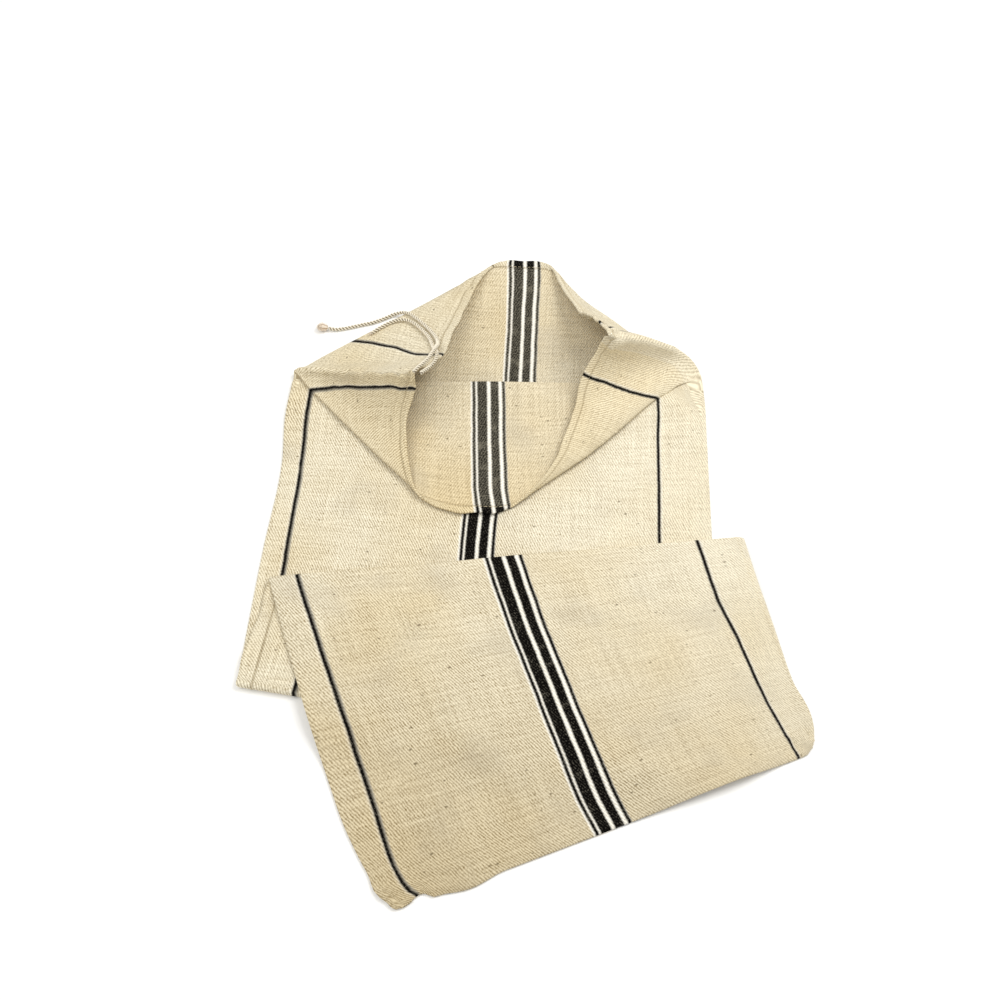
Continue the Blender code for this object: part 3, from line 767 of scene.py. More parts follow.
def surface(node: partial, links: dict) -> None:
    """End a material's tree in a Principled shader with these inputs."""
    shader = node("ShaderNodeBsdfPrincipled", links)
    node("ShaderNodeOutputMaterial", {"Surface": shader})


@dataclass(frozen=True)
class Twill:
    """Hand-loomed 2/1 twill, cotton warp over hemp weft, undyed, with black and bleached warp stripes.

    Matt and slightly fuzzy; pale raised ribs slant across it with tan weft in the grooves between.
    """

    tube_width: float
    rib_pitch: float = 0.0030  # real ribs are about 2 to 3 mm apart
    rib_slant: float = 29.0  # degrees from the warp
    pick_pitch: float = 0.0021
    warp_pitch: float = 0.0011
    stripe_places: ClassVar[tuple] = (0.0480, 0.2880, 0.5190)  # left, middle and right, from the seam
    side_stripes: tuple = (0.0058, 0.0052)  # how wide the left and right ones are
    middle_bands: tuple = (-0.0224, -0.0177, -0.0141, -0.0008, 0.0028, 0.0144, 0.0180, 0.0224)
    shaded_fold: float = 0.905  # distance from the hem of the second fold, along which grey painted shade is laid
    hem_groove: float = 0.0106  # and of the groove beside the hem
    bleached_edge: float = 0.0009  # the bleached threads along every stripe
    edge_soft: float = 0.0002
    rib_wander: float = 0.0035  # how far the ribs stray sideways, slowly
    rib_jitter: float = 0.8  # and from thread to thread, in ribs
    bead_deep: float = 0.2  # the notches between the picks along a rib
    mid_relief: float = 0.42  # the relief at which the yarns' paleness is mid_pale
    mid_pale: float = 0.70
    streaky: float = 0.55  # how much the uneven yarns show
    speckled: float = 1.15  # and the specks
    bleach_middle: float = 0.92  # how white the stripes' bleached threads are
    bleach_sides: float = 0.40
    pale: str = "#F5EDD5"
    tan: str = "#8B774E"
    inner_pale: str = "#F1E7CD"
    inner_tan: str = "#86744E"
    bleached: str = "#FBF8EE"
    bleached_shade: str = "#CFC6AE"
    black: str = "#070504"
    worn_black: str = "#5C584E"
    inner_black: str = "#171511"
    inner_weft: str = "#7C7768"
    fleck: str = "#5E4E33"
    # the grey of the stains, and of the painted shade along the second fold
    smudge_and_fold_shade: str = "#B5AD9C"
    straw: str = "#EAD9AE"
    # the darker, yellower colour of the lower left: partly dust, partly painted shade
    dust_and_shade: str = "#D2C6AC"
    # painted light: the paler colour laid on the right of each panel, as if lit from the right
    lit_right: str = "#F3EEDD"
    yellowed: str = "#F6E6BE"
    # the darker colour of the groove beside the hem, painted shade with some grime, and of the grime along
    # the seam
    groove_shade_and_dirt_colour: str = "#8B7A55"

    def material(self, face: Face) -> bpy.types.Material:
        """The finish of one face of the cloth."""
        inner = face is Face.INNER
        material, node = empty_material("hemp and cotton twill, " + ("reverse" if inner else "face"))
        Weaving(self, node, inner).finish()
        return material


@dataclass
class Weaving:
    """The tree of a twill's finish on one face of the cloth, part by part."""

    twill: Twill
    node: partial  # adds a node to the tree
    inner: bool  # whether it is the reverse of the cloth

    def __post_init__(self) -> None:
        """Start the tree: where a point lies on the cloth, and its noises and spans there."""
        node = self.node
        self.place = place = node("ShaderNodeUVMap", uv_map="weave")
        # round the tube from 0 at the left seam, down from the hem, and on either panel from that seam
        self.u = node("ShaderNodeSeparateXYZ", {0: place}, "X")
        self.v = v = self.u.node.outputs["Y"]
        side = node(MATH, {0: self.u, 1: self.twill.tube_width}, operation="PINGPONG")
        scales = {  # and detail
            "wander": (22.0, 3.0),
            "fine": (160.0, 2.0),
            "specks": (430.0, 1.5),
            "clear": (11.0, 2.0),
            "patch": (6.0, 3.0),
            "showing": (520.0, 2.0),
            "worn": (60.0, 3.0),
            "fuzz": (900.0, 2.0),
        }
        noise = {
            name: node(NOISE, {"Vector": place, "Scale": scale, "Detail": detail})
            for name, (scale, detail) in scales.items()
        }
        for name in ("wander", "fine", "specks"):
            noise[name] = node(MATH, {0: noise[name], 1: 0.5}, operation="SUBTRACT")
        spans = {
            "clear": (noise["clear"], 0.35, 0.65, *((0.34, 0.58) if self.inner else (0.52, 0.96))),
            "patch": (noise["patch"], 0.42, 0.74, 0.0, 0.42),
            "worn": (noise["worn"], 0.55, 0.75, 0.0, 0.22),
            # painted light: paler towards the right of each panel, standing in for light from the right
            "lit_right": (side, 0.26, self.twill.tube_width, 0.0, 0.22),
            # with low_down, darker towards the lower left: partly dust, partly painted shade
            "to_left": (side, 0.0, self.twill.tube_width, 1.0, 0.35),
            "seam": (side, 0.0004, 0.0024, 0.5, 0.0),
            "handled": (v, 0.02, 0.26, 0.40, 0.0),
            "low_down": (v, 0.85, 1.22, 0.0, 0.75),
            "past_mouth": (v, 0.45, 0.55, 0.0, 1.0),
        }
        self.noise = noise
        self.span = {name: node(SPAN, between(*values)) for name, values in spans.items()}
        self.relief = self.ribs()
        self.streaks = self.yarns()
        self.depth = self.paleness()

    def ribs(self) -> Socket:
        """The ribs' relief: each is a row of short floats, one for each pick of the weft."""
        node, v = self.node, self.v
        slant = math.radians(self.twill.rib_slant)
        # threads wander a little, as hand-beaten cloth does
        across = {0: self.noise["wander"], 1: self.twill.rib_wander, 2: self.u}
        across = node(MATH, across, operation="MULTIPLY_ADD")
        across = node(MATH, {0: across, 1: math.cos(slant) / self.twill.rib_pitch}, operation="MULTIPLY")
        slope = -math.sin(slant) / self.twill.rib_pitch
        phase = node(MATH, {0: v, 1: slope, 2: across}, operation="MULTIPLY_ADD")
        jitter = {0: self.noise["fine"], 1: self.twill.rib_jitter, 2: phase}
        phase = node(MATH, jitter, operation="MULTIPLY_ADD")
        turns = node(MATH, {0: phase, 1: 2 * math.pi}, operation="MULTIPLY")
        rib = node(MATH, {0: turns}, operation="SINE")
        rib = node(MATH, {0: rib, 1: 0.5, 2: 0.5}, operation="MULTIPLY_ADD")
        picks = node(MATH, {0: v, 1: 2 * math.pi / self.twill.pick_pitch}, operation="MULTIPLY")
        picks = node(MATH, {0: turns, 1: 0.5, 2: picks}, operation="MULTIPLY_ADD")
        bead = node(MATH, {0: picks}, operation="SINE")
        bead = {0: bead, 1: self.twill.bead_deep, 2: 1.0 - self.twill.bead_deep}
        bead = node(MATH, bead, operation="MULTIPLY_ADD")
        return node(MATH, {0: rib, 1: bead}, operation="MULTIPLY")

    def yarns(self) -> list[Socket]:
        """Uneven yarns: long streaks along the warp, and shorter ones along the weft."""
        streaks = []
        for scale, detail in (
            ((0.8 / self.twill.warp_pitch, 9.0, 1.0), 1.0),
            ((16.0, 0.6 / self.twill.pick_pitch, 1.0), 2.0),
        ):
            stretched = self.node(VECTOR, {0: self.place, 1: scale}, operation="MULTIPLY")
            streaks.append(self.node(NOISE, {"Vector": stretched, "Scale": 1.0, "Detail": detail}))
        return streaks

    def paleness(self) -> Socket:
        """How pale the yarns are: 0 in the grooves and 1 on the ribs, less clear in some places."""
        node = self.node
        streak = node(MATH, {0: self.streaks[0], 1: self.streaks[1]}, operation="ADD")
        streak = node(MATH, {0: streak, 1: 1.0}, operation="SUBTRACT")
        depth = node(MATH, {0: self.relief, 1: self.twill.mid_relief}, operation="SUBTRACT")
        depth = {0: depth, 1: self.span["clear"], 2: self.twill.mid_pale}
        depth = node(MATH, depth, operation="MULTIPLY_ADD")
        depth = node(MATH, {0: streak, 1: self.twill.streaky, 2: depth}, operation="MULTIPLY_ADD")
        specks = {0: self.noise["specks"], 1: self.twill.speckled, 2: depth}
        return node(MATH, specks, operation="MULTIPLY_ADD", use_clamp=True)

    def smudges_and_fold_shade(self) -> Socket:
        """A mask of grey stains, with more grey along the fold where the tube is folded over itself: painted
        shade where the cloth there slopes away from the light.
        """
        node = self.node
        shifted = node(VECTOR, {0: self.place, 1: (3.7, 1.9, 0.0)}, operation="ADD")
        grey = node(NOISE, {"Vector": shifted, "Scale": 13.0, "Detail": 4.0})
        # painted shade: more grey in a band along the second fold
        fold_shade = node(MATH, {0: self.v, 1: self.twill.shaded_fold}, operation="SUBTRACT")
        fold_shade = node(MATH, {0: fold_shade}, operation="ABSOLUTE")
        fold_shade = node(SPAN, between(fold_shade, 0.0, 0.03, 0.09, 0.0))
        grey = node(MATH, {0: grey, 1: fold_shade}, operation="ADD")
        return node(SPAN, between(grey, 0.54, 0.76, 0.0, 0.34))

    def handling(self) -> Socket:
        """A mask of the yellow near the mouth, where the front panel has been handled the most."""
        node = self.node
        least = 0.35 if self.inner else 0.15  # the share of it that the back panel has
        front = node(MATH, {0: self.u, 1: self.twill.tube_width}, operation="LESS_THAN")
        front = node(MATH, {0: front, 1: 1.0 - least, 2: least}, operation="MULTIPLY_ADD")
        return node(MATH, {0: self.span["handled"], 1: front}, operation="MULTIPLY")

    def flecks(self) -> Socket:
        """A mask of dark flecks of bast in the weft: long flat cells, few of them filled."""
        node = self.node
        cells = node(VECTOR, {0: self.place, 1: (120.0, 210.0, 1.0)}, operation="MULTIPLY")
        spot = node("ShaderNodeTexVoronoi", {"Vector": cells, "Scale": 1.0, "Randomness": 1.0}, "Distance")
        chosen = node("ShaderNodeSeparateColor", {0: spot.node.outputs["Color"]}, "Red")
        size = node(SPAN, between(chosen, 0.86, 1.0, 0.0, 0.34))
        fleck = node(MATH, {0: size, 1: spot}, operation="SUBTRACT")
        fleck = node(MATH, {0: fleck, 1: 5.0}, operation="MULTIPLY", use_clamp=True)
        return node(MATH, {0: fleck, 1: 0.75}, operation="MULTIPLY")

    def ground(self) -> Socket:
        """The undyed cloth's colour, with its stains, wear and flecks, and painted light: paler towards the
        right of each panel, darker towards the lower left, and grey along the second fold.
        """
        node, span = self.node, self.span
        twill = self.twill
        tan, pale = (twill.inner_tan, twill.inner_pale) if self.inner else (twill.tan, twill.pale)
        ground = node(MIX, {0: self.depth, 6: linear(tan), 7: linear(pale)}, 2, data_type="RGBA")
        low_left = node(MATH, {0: span["low_down"], 1: span["to_left"]}, operation="MULTIPLY")
        for mask, colour, blend in (
            (span["patch"], self.twill.straw, "MULTIPLY"),
            # grey stains, and grey painted shade along the second fold
            (self.smudges_and_fold_shade(), self.twill.smudge_and_fold_shade, "MIX"),
            # painted light: the right of each panel is painted paler
            (span["lit_right"], self.twill.lit_right, "MIX"),
            (self.handling(), self.twill.yellowed, "MULTIPLY"),
            # darker and yellower towards the lower left: partly dust, partly painted shade
            (low_left, self.twill.dust_and_shade, "MULTIPLY"),
            (self.flecks(), self.twill.fleck, "MIX"),
        ):
            inputs = {0: mask, 6: ground, 7: linear(colour)}
            ground = node(MIX, inputs, 2, data_type="RGBA", blend_type=blend)
        return ground

    def bands(self, across: Socket, edges: list) -> Socket:
        """A mask of bands across the cloth.

        Args:
            across: the share of the cloth's width, from seam to seam.
            edges: where bands start and end by turns, from the seam.

        Returns:
            The mask's socket.
        """
        mask = self.node("ShaderNodeValToRGB", {0: across})
        elements = mask.node.color_ramp.elements
        for element, end in zip(elements, (0.0, 1.0)):
            element.position, element.color = end, (0.0, 0.0, 0.0, 1.0)
        for i, edge in enumerate(edges):
            for offset, inside in ((-self.twill.edge_soft, i % 2 == 1), (self.twill.edge_soft, i % 2 == 0)):
                element = elements.new((edge + offset) / self.twill.tube_width)
                element.color = (*(3 * [float(inside)]), 1.0)
        return mask

    def across(self) -> Socket:
        """The share of the cloth's width at which the stripes are read, stepped by the picks."""
        node = self.node
        step = node(MATH, {0: self.v, 1: 1.0 / self.twill.pick_pitch}, operation="MULTIPLY")
        step = node(MATH, {0: step, 1: 1.0}, operation="PINGPONG")
        across = self.u
        for shift, far in (
            (step, 0.0006 if self.inner else 0.0004),
            (self.noise["wander"], 0.0022),
            (self.noise["fine"], 0.0009),
        ):
            across = node(MATH, {0: shift, 1: far, 2: across}, operation="MULTIPLY_ADD")
        across = node(MATH, {0: across, 1: self.twill.tube_width}, operation="PINGPONG")
        return node(MATH, {0: across, 1: 1.0 / self.twill.tube_width}, operation="MULTIPLY")

    def black_yarns(self) -> Socket:
        """The black yarns' colour: the weft shows through where they are worn or turned under."""
        node = self.node
        showing = {0: self.relief, 1: -0.2, 2: self.noise["showing"]}
        showing = node(MATH, showing, operation="MULTIPLY_ADD")
        showing = node(MATH, {0: showing, 1: self.span["worn"]}, operation="ADD")
        start, end = (0.30, 0.62) if self.inner else (0.46, 0.72)
        showing = node(SPAN, between(showing, start, end, 0.0, 0.8))
        black, weft = self.twill.black, self.twill.worn_black
        if self.inner:
            black, weft = self.twill.inner_black, self.twill.inner_weft
        return node(MIX, {0: showing, 6: linear(black), 7: linear(weft)}, 2, data_type="RGBA")

    def striped(self) -> Socket:
        """The cloth's colour, with the bleached and the black stripes woven into the ground."""
        node = self.node
        across = self.across()
        left, middle, right = self.twill.stripe_places
        sides = [(at - wide / 2, at + wide / 2) for at, wide in zip((left, right), self.twill.side_stripes)]
        bands = [middle + edge for edge in self.twill.middle_bands]
        rim = self.twill.bleached_edge
        rims = [edge + way * rim for side in sides for edge, way in zip(side, (-1, 1))]
        group = self.bands(across, [bands[0] - rim, bands[-1] + rim])
        group = node(MATH, {0: group, 1: self.twill.bleach_middle}, operation="MULTIPLY")
        beside = self.bands(across, rims)
        beside = node(MATH, {0: beside, 1: self.twill.bleach_sides}, operation="MULTIPLY")
        bleach = node(MATH, {0: beside, 1: group}, operation="MAXIMUM")
        bright = node(MATH, {0: self.depth, 1: 1.35}, operation="MULTIPLY", use_clamp=True)
        whitened = {0: bright, 6: linear(self.twill.bleached_shade), 7: linear(self.twill.bleached)}
        whitened = node(MIX, whitened, 2, data_type="RGBA")
        colour = node(MIX, {0: bleach, 6: self.ground(), 7: whitened}, 2, data_type="RGBA")
        black_bands = self.bands(across, [*sides[0], *bands, *sides[1]])
        colours = {6: colour, 7: self.black_yarns()}
        return node(MIX, {0: black_bands, **colours}, 2, data_type="RGBA")

    def groove_shade_and_dirt(self) -> Socket:
        """A mask of the darker groove beside the hem, painted shade with some grime, and of the grime along
        the left side seam below the mouth.
        """
        node = self.node
        groove = node(MATH, {0: self.v}, operation="ABSOLUTE")
        groove = node(MATH, {0: groove, 1: self.twill.hem_groove}, operation="SUBTRACT")
        groove = node(MATH, {0: groove}, operation="ABSOLUTE")
        # painted shade with some grime: the groove beside the hem is darkened
        groove = node(SPAN, between(groove, 0.0, 0.0022, 0.38, 0.0))
        seam = node(MATH, {0: self.span["seam"], 1: self.span["past_mouth"]}, operation="MULTIPLY")
        return node(MATH, {0: groove, 1: seam}, operation="MAXIMUM")

    def finish(self) -> None:
        """End the tree."""
        node = self.node
        groove_shade_and_dirt = self.groove_shade_and_dirt()
        colour = {0: groove_shade_and_dirt, 6: self.striped(), 7: linear(self.twill.groove_shade_and_dirt_colour)}
        colour = node(MIX, colour, 2, data_type="RGBA", blend_type="MULTIPLY")
        # relief of the weave and of loose fibres, lower in the darkened groove beside the hem and along the
        # seam
        height = self.relief
        for shape, rise in ((self.noise["fuzz"], 0.25), (self.streaks[1], 0.25), (groove_shade_and_dirt, -1.2)):
            height = node(MATH, {0: shape, 1: rise, 2: height}, operation="MULTIPLY_ADD")
        bump = node("ShaderNodeBump", {"Strength": 0.8, "Distance": 0.0006, "Height": height})
        surface(node, {"Base Color": colour, "Roughness": 0.95, "Specular IOR Level": 0.06, "Normal": bump})


@dataclass(frozen=True)
class CottonCord:
    """Two-ply twisted cotton cord, undyed and washed: matt, pale, with fine slanting yarns."""

    pale: str = "#FCF5E4"
    shade: str = "#CDBD93"
    # painted shade: the colour of the grooves between the plies
    groove: str = "#6E5D40"
    name: str = "twisted cotton cord"
    yarn: float = 0.0012  # distance between the yarns that show on a ply
    yarn_slope: float = 1.6
    girth: float = 0.0157  # the length round the cord that its UV map gives

    def material(self) -> bpy.types.Material:
        """The finish of the tie."""
        material, node = empty_material(self.name)
        place = node("ShaderNodeUVMap", uv_map="lay")
        around = node("ShaderNodeSeparateXYZ", {0: place}, "X")
        along = around.node.outputs["Y"]
        slanted = node(MATH, {0: along, 1: self.yarn_slope, 2: around}, operation="MULTIPLY_ADD")
        turns = node(MATH, {0: slanted, 1: 2 * math.pi / self.yarn}, operation="MULTIPLY")
        yarn = node(MATH, {0: turns}, operation="SINE")
        yarn = node(MATH, {0: yarn, 1: 0.5, 2: 0.5}, operation="MULTIPLY_ADD")
        fuzz = node(NOISE, {"Vector": place, "Scale": 700.0, "Detail": 3.0})
        depth = node(MATH, {0: yarn, 1: 0.35, 2: 0.30}, operation="MULTIPLY_ADD")
        depth = node(MATH, {0: fuzz, 1: 0.65, 2: depth}, operation="MULTIPLY_ADD", use_clamp=True)
        colours = {6: linear(self.shade), 7: linear(self.pale)}
        colour = node(MIX, {0: depth, **colours}, 2, data_type="RGBA")
        # the two grooves between the plies are painted darker: painted shade
        ply = node(MATH, {0: around, 1: 4 * math.pi / self.girth}, operation="MULTIPLY")
        ply = node(MATH, {0: ply}, operation="COSINE")
        ply = node(SPAN, between(ply, -1.0, 0.25, 1.0, 0.0))
        colour = node(MIX, {0: ply, 6: colour, 7: linear(self.groove)}, 2, data_type="RGBA")
        height = node(MATH, {0: fuzz, 1: 0.4, 2: yarn}, operation="MULTIPLY_ADD")
        bump = node("ShaderNodeBump", {"Strength": 0.6, "Distance": 0.0004, "Height": height})
        surface(node, {"Base Color": colour, "Roughness": 0.92, "Specular IOR Level": 0.08, "Normal": bump})
        return material


@dataclass(frozen=True)
class LinenThread:
    """Waxed linen sewing thread, undyed: a touch darker and smoother than the cloth."""

    pale: str = "#E9DEC0"
    shade: str = "#BBA97E"

    def material(self) -> bpy.types.Material:
        """The finish of the stitches."""
        material, node = empty_material("linen sewing thread")
        place = node("ShaderNodeTexCoord", out="Object")
        fuzz = node(NOISE, {"Vector": place, "Scale": 900.0, "Detail": 2.0})
        colours = {6: linear(self.shade), 7: linear(self.pale)}
        colour = node(MIX, {0: fuzz, **colours}, 2, data_type="RGBA")
        bump = node("ShaderNodeBump", {"Strength": 0.4, "Distance": 0.0002, "Height": fuzz})
        surface(node, {"Base Color": colour, "Roughness": 0.8, "Normal": bump})
        return material


@dataclass(frozen=True)
class PaintedFloor:
    """Matt white-painted boards sanded smooth: a plain pale ground with a barely uneven gloss."""

    white: str = "#F7F7F6"

    def material(self) -> bpy.types.Material:
        """The finish of the floor."""
        material, node = empty_material("matt white paint")
        place = node("ShaderNodeTexCoord", out="Object")
        cloud = node(NOISE, {"Vector": place, "Scale": 3.0, "Detail": 2.0})
        rough = node(SPAN, {"Value": cloud, "To Min": 0.75, "To Max": 0.9})
        surface(node, {"Base Color": linear(self.white), "Roughness": rough, "Specular IOR Level": 0.2})
        return material


# ---- meshes ---------------------------------------------------------------------------------------


def quads(rows: int, columns: int, turned: bool = False) -> list[tuple]:
    """The corners of a grid's faces, as numbers of a row and a column.

    Args:
        rows: how many rows of faces it has.
        columns: how many faces each has.
        turned: whether the corners go round the other way.

    Returns:
        Four corners for each face, row after row.
    """
    faces = [((r, k), (r + 1, k), (r + 1, k + 1), (r, k + 1)) for r in range(rows) for k in range(columns)]
    return [face[:1] + face[:0:-1] for face in faces] if turned else faces


def make(name: str, vertices: list, faces: list, uv_map: str, places: list) -> bpy.types.Object:
    """Make a smooth mesh object at the origin.

    Args:
        name: its name.
        vertices: its points.
        faces: their numbers, face by face.
        uv_map: its UV map's name.
        places: each face corner's place on that map.

    Returns:
        The object.
    """
    mesh = bpy.data.meshes.new(name)
    mesh.from_pydata(vertices, [], faces)
    layer = mesh.uv_layers.new(name=uv_map)
    layer.data.foreach_set("uv", np.array(places, dtype=np.float32).ravel())
    mesh.shade_smooth()
    piece = bpy.data.objects.new(name, mesh)
    bpy.context.scene.collection.objects.link(piece)
    return piece


# ---- threads --------------------------------------------------------------------------------------


@dataclass
class Threads:
    """Short arched threads set on points by Geometry Nodes: stitches, and the fibres of a fray."""

    name: str
    length: float
    thickness: float
    rise: float
    vary: float = 0.15  # how much their lengths vary
    seed: int = 5
    bends: int = 4
    sides: int = 5

    def tree(self, material: bpy.types.Material) -> bpy.types.NodeTree:
        """The node tree that sets a thread on each point, along and out by the point's attributes."""
        tree = bpy.data.node_groups.new(self.name, "GeometryNodeTree")
        sockets = [("Geometry", "Geometry"), *((name, "Float") for name in self.sizes()), ("Seed", "Int")]
        for name, kind in sockets:
            tree.interface.new_socket(name, in_out="INPUT", socket_type="NodeSocket" + kind)
        tree.interface.new_socket("Geometry", in_out="OUTPUT", socket_type="NodeSocketGeometry")
        node = partial(add, tree)
        given = node("NodeGroupInput").node.outputs
        ends = {}
        for name, axis, size, share in (
            ("Start", "X", "Length", -0.5),
            ("Middle", "Z", "Rise", 2.0),
            ("End", "X", "Length", 0.5),
        ):
            far = node(MATH, {0: given[size], 1: share}, operation="MULTIPLY")
            ends[name] = node("ShaderNodeCombineXYZ", {axis: far})
        arch = node("GeometryNodeCurveQuadraticBezier", {"Resolution": self.bends, **ends})
        radius = node(MATH, {0: given["Thickness"], 1: 0.5}, operation="MULTIPLY")
        circle = node("GeometryNodeCurvePrimitiveCircle", {"Resolution": self.sides, "Radius": radius})
        thread = {"Curve": arch, "Profile Curve": circle, "Fill Caps": True}
        thread = node("GeometryNodeCurveToMesh", thread)
        along, out = (
            node("GeometryNodeInputNamedAttribute", {"Name": name}, data_type="FLOAT_VECTOR")
            for name in ("along", "out")
        )
        turn = node("FunctionNodeAlignRotationToVector", {"Vector": along}, axis="X")
        turn = {"Rotation": turn, "Vector": out}
        turn = node("FunctionNodeAlignRotationToVector", turn, axis="Z", pivot_axis="X")
        scale = {"Min": given["Shortest"], "Max": given["Longest"], "Seed": given["Seed"]}
        scale = node("FunctionNodeRandomValue", scale, "Value", data_type="FLOAT")
        placed = {"Points": given["Geometry"], "Instance": thread, "Rotation": turn, "Scale": scale}
        placed = node("GeometryNodeInstanceOnPoints", placed)
        placed = node("GeometryNodeRealizeInstances", {"Geometry": placed})
        placed = node("GeometryNodeSetMaterial", {"Geometry": placed, "Material": material})
        node("NodeGroupOutput", {"Geometry": placed})
        return tree

    def sizes(self) -> dict[str, float]:
        """The tree's sizes by the names of its inputs."""
        return {
            "Length": self.length,
            "Thickness": self.thickness,
            "Rise": self.rise,
            "Shortest": 1.0 - self.vary,
            "Longest": 1.0 + self.vary,
        }

    def build(
        self, places: np.ndarray, along: np.ndarray, out: np.ndarray, material: bpy.types.Material, slot: str
    ) -> bpy.types.Object:
        """Set the threads.

        Args:
            places: where their middles lie.
            along: the direction of each.
            out: the side to which each is arched.
            material: their finish.
            slot: a material slot; not used.

        Returns:
            The piece, as one plain mesh.
        """
        base = bpy.data.meshes.new(self.name + "_points")
        base.from_pydata(places.tolist(), [], [])
        for name, vectors in (("along", along), ("out", out)):
            attribute = base.attributes.new(name, "FLOAT_VECTOR", "POINT")
            attribute.data.foreach_set("vector", vectors.astype(np.float32).ravel())
        piece = bpy.data.objects.new(self.name, base)
        bpy.context.scene.collection.objects.link(piece)
        tree = self.tree(material)
        modifier = piece.modifiers.new(self.name, "NODES")
        modifier.node_group = tree
        values = {**self.sizes(), "Seed": self.seed}
        for item in tree.interface.items_tree:
            if item.item_type == "SOCKET" and item.in_out == "INPUT" and item.name in values:
                modifier[item.identifier] = values[item.name]
        evaluated = piece.evaluated_get(bpy.context.evaluated_depsgraph_get())
        mesh = bpy.data.meshes.new_from_object(evaluated)
        piece.modifiers.remove(modifier)
        piece.data = mesh
        mesh.name = self.name
        mesh.shade_smooth()
        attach(piece, "root")
        log.info("%s: %d threads, %d faces", self.name, len(places), len(mesh.polygons))
        return piece


# ---- the cloth ------------------------------------------------------------------------------------


@dataclass
class Sack:
    """The sack's cloth: one closed shell with a rolled hem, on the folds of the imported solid."""

    lay: Lay
    hem_wide: float = 0.010
    hem_out: float = 0.0007  # how far the rolled hem stands out on the outer face
    hem_in: float = 0.0013  # and on the inner face
    hem_line: float = 0.0090  # from the edge to the line of stitches
    hem_pitch: float = 0.0065
    seam_pitch: float = 0.0050
    hem_wave: float = 0.0014  # how far its edge wanders
    hem_wave_long: float = 0.045
    hem_wave_deep: float = 0.035  # how far from the edge the cloth follows
    pinched: float = 0.0007  # whole thickness where the cloth is pinched at the corners
    below_hem: float = 0.012  # from the edge, where the plain cloth begins
    broad_swell: float = 0.0015  # heights of the fold-over's unevenness
    small_swell: float = 0.0006
    puff: float = 0.0012  # how far the front panel is puffed up in front of the lip
    pinch_starts: tuple[float, float] = (0.85, 0.03)  # share of the mouth, metres from the bottom
    bead_middle: float = 0.35  # of the rolled hem, as a share of its width from the edge
    mouth_deep: float = 0.200  # from the hem to the lip's fold, at the middle of both panels
    # the rows nearest the hem, by their distance from it
    hem_rows: tuple = (0.0, 0.0008, 0.002, 0.004, 0.006, 0.008, 0.0092, 0.0100, 0.0108, 0.013)
    # the rows of each stretch: the shares of its length for the first and the last, and how many
    mouth_rows: tuple[float, float, int] = (0.918, 0.012, 46)
    under_rows: tuple[float, float, int] = (0.015, 0.62, 44)
    covered_rows: tuple[float, float, int] = (0.66, 0.965, 9)
    middle_rows: tuple[float, float, int] = (0.07, 0.93, 20)
    top_rows: tuple[float, float, int] = (0.035, 0.955, 56)
    # the rows of each fold: the angles of the first and the last, and how many
    lip_rows: tuple[float, float, int] = (90, -90, 11)
    first_fold_rows: tuple[float, float, int] = (-90, 90, 11)
    second_fold_rows: tuple[float, float, int] = (-90, 90, 13)
    closing_rows: tuple[float, float, int] = (80, 0, 7)
    rim_turns: int = 4
    hem_stitch: tuple[float, float, float] = (0.0042, 0.00055, 0.00035)  # length, thickness and rise
    seam_stitch: tuple[float, float, float] = (0.0036, 0.0005, 0.0003)
    stitch_start: float = 0.006  # of the hem's stitches, from the left seam
    seam_start: float = 0.42  # of the seams' stitches, down from the hem
    stitch_reach: float = 0.003  # how far round the tube a seam's stitch slants
    flat_cut: tuple[float, float] = (0.58, 2.40)  # the length of cloth, folded at the bottom and sewn

    def rows(self) -> list[Row]:
        """Every row of the tube, from the hem of the mouth down to the closed bottom."""
        lay = self.lay
        front = MouthPanel(lay, FRONT_HEM, (5, 9), down=True)
        back = MouthPanel(lay, BACK_HEM, (6, 8), down=False)
        rows: list[Row] = []

        def opened(layer: Layer, share: float, turned: float) -> None:
            front_points, front_across, ridges = front.row(share, turned, (None, None))
            back_points, back_across, _ = back.row(share, turned, ridges)
            back_points[[0, -1]] = front_points[[0, -1]]
            rows.append(Row(layer, share, front_points, back_points, front_across, back_across))

        close = 1.0 - np.array(self.hem_rows) / self.mouth_deep
        for share in (*close, *np.linspace(*self.mouth_rows)):
            opened(Layer.MOUTH, share, 1.0)
        for angle in np.linspace(*self.lip_rows):
            opened(Layer.LIP, 0.0, (1.0 + math.sin(math.radians(angle))) / 2)
        across, _ = lay.columns()

        def flat(layer: Layer, share: float, pair: tuple) -> None:
            rows.append(Row(layer, share, pair[0], pair[1], across, across))

        for share in (*np.linspace(*self.under_rows), *np.linspace(*self.covered_rows)):
            flat(Layer.UNDER, share, lay.flat_row(UNDER_SECTION, 0, share))
        for angle in np.linspace(*self.first_fold_rows):
            flat(Layer.FIRST_FOLD, angle, lay.folded_row(UNDER_SECTION, MIDDLE_SECTION, 0, angle))
        for share in np.linspace(*self.middle_rows):
            flat(Layer.MIDDLE, share, lay.flat_row(MIDDLE_SECTION, 1, share))
        for angle in np.linspace(*self.second_fold_rows):
            flat(Layer.SECOND_FOLD, angle, lay.folded_row(MIDDLE_SECTION, TOP_SECTION, 1, angle))
        for share in np.linspace(*self.top_rows):
            flat(Layer.TOP, share, lay.flat_row(TOP_SECTION, 2, share))
        roll = lay.bottom_roll / lay.lengths(TOP_SECTION, across)
        for angle in np.linspace(*self.closing_rows):
            turn = math.radians(angle)
            share = 1.0 - roll * (1.0 - math.cos(turn))
            flat(Layer.BOTTOM, angle, lay.flat_row(TOP_SECTION, 2, share, math.sin(turn)))
        return rows

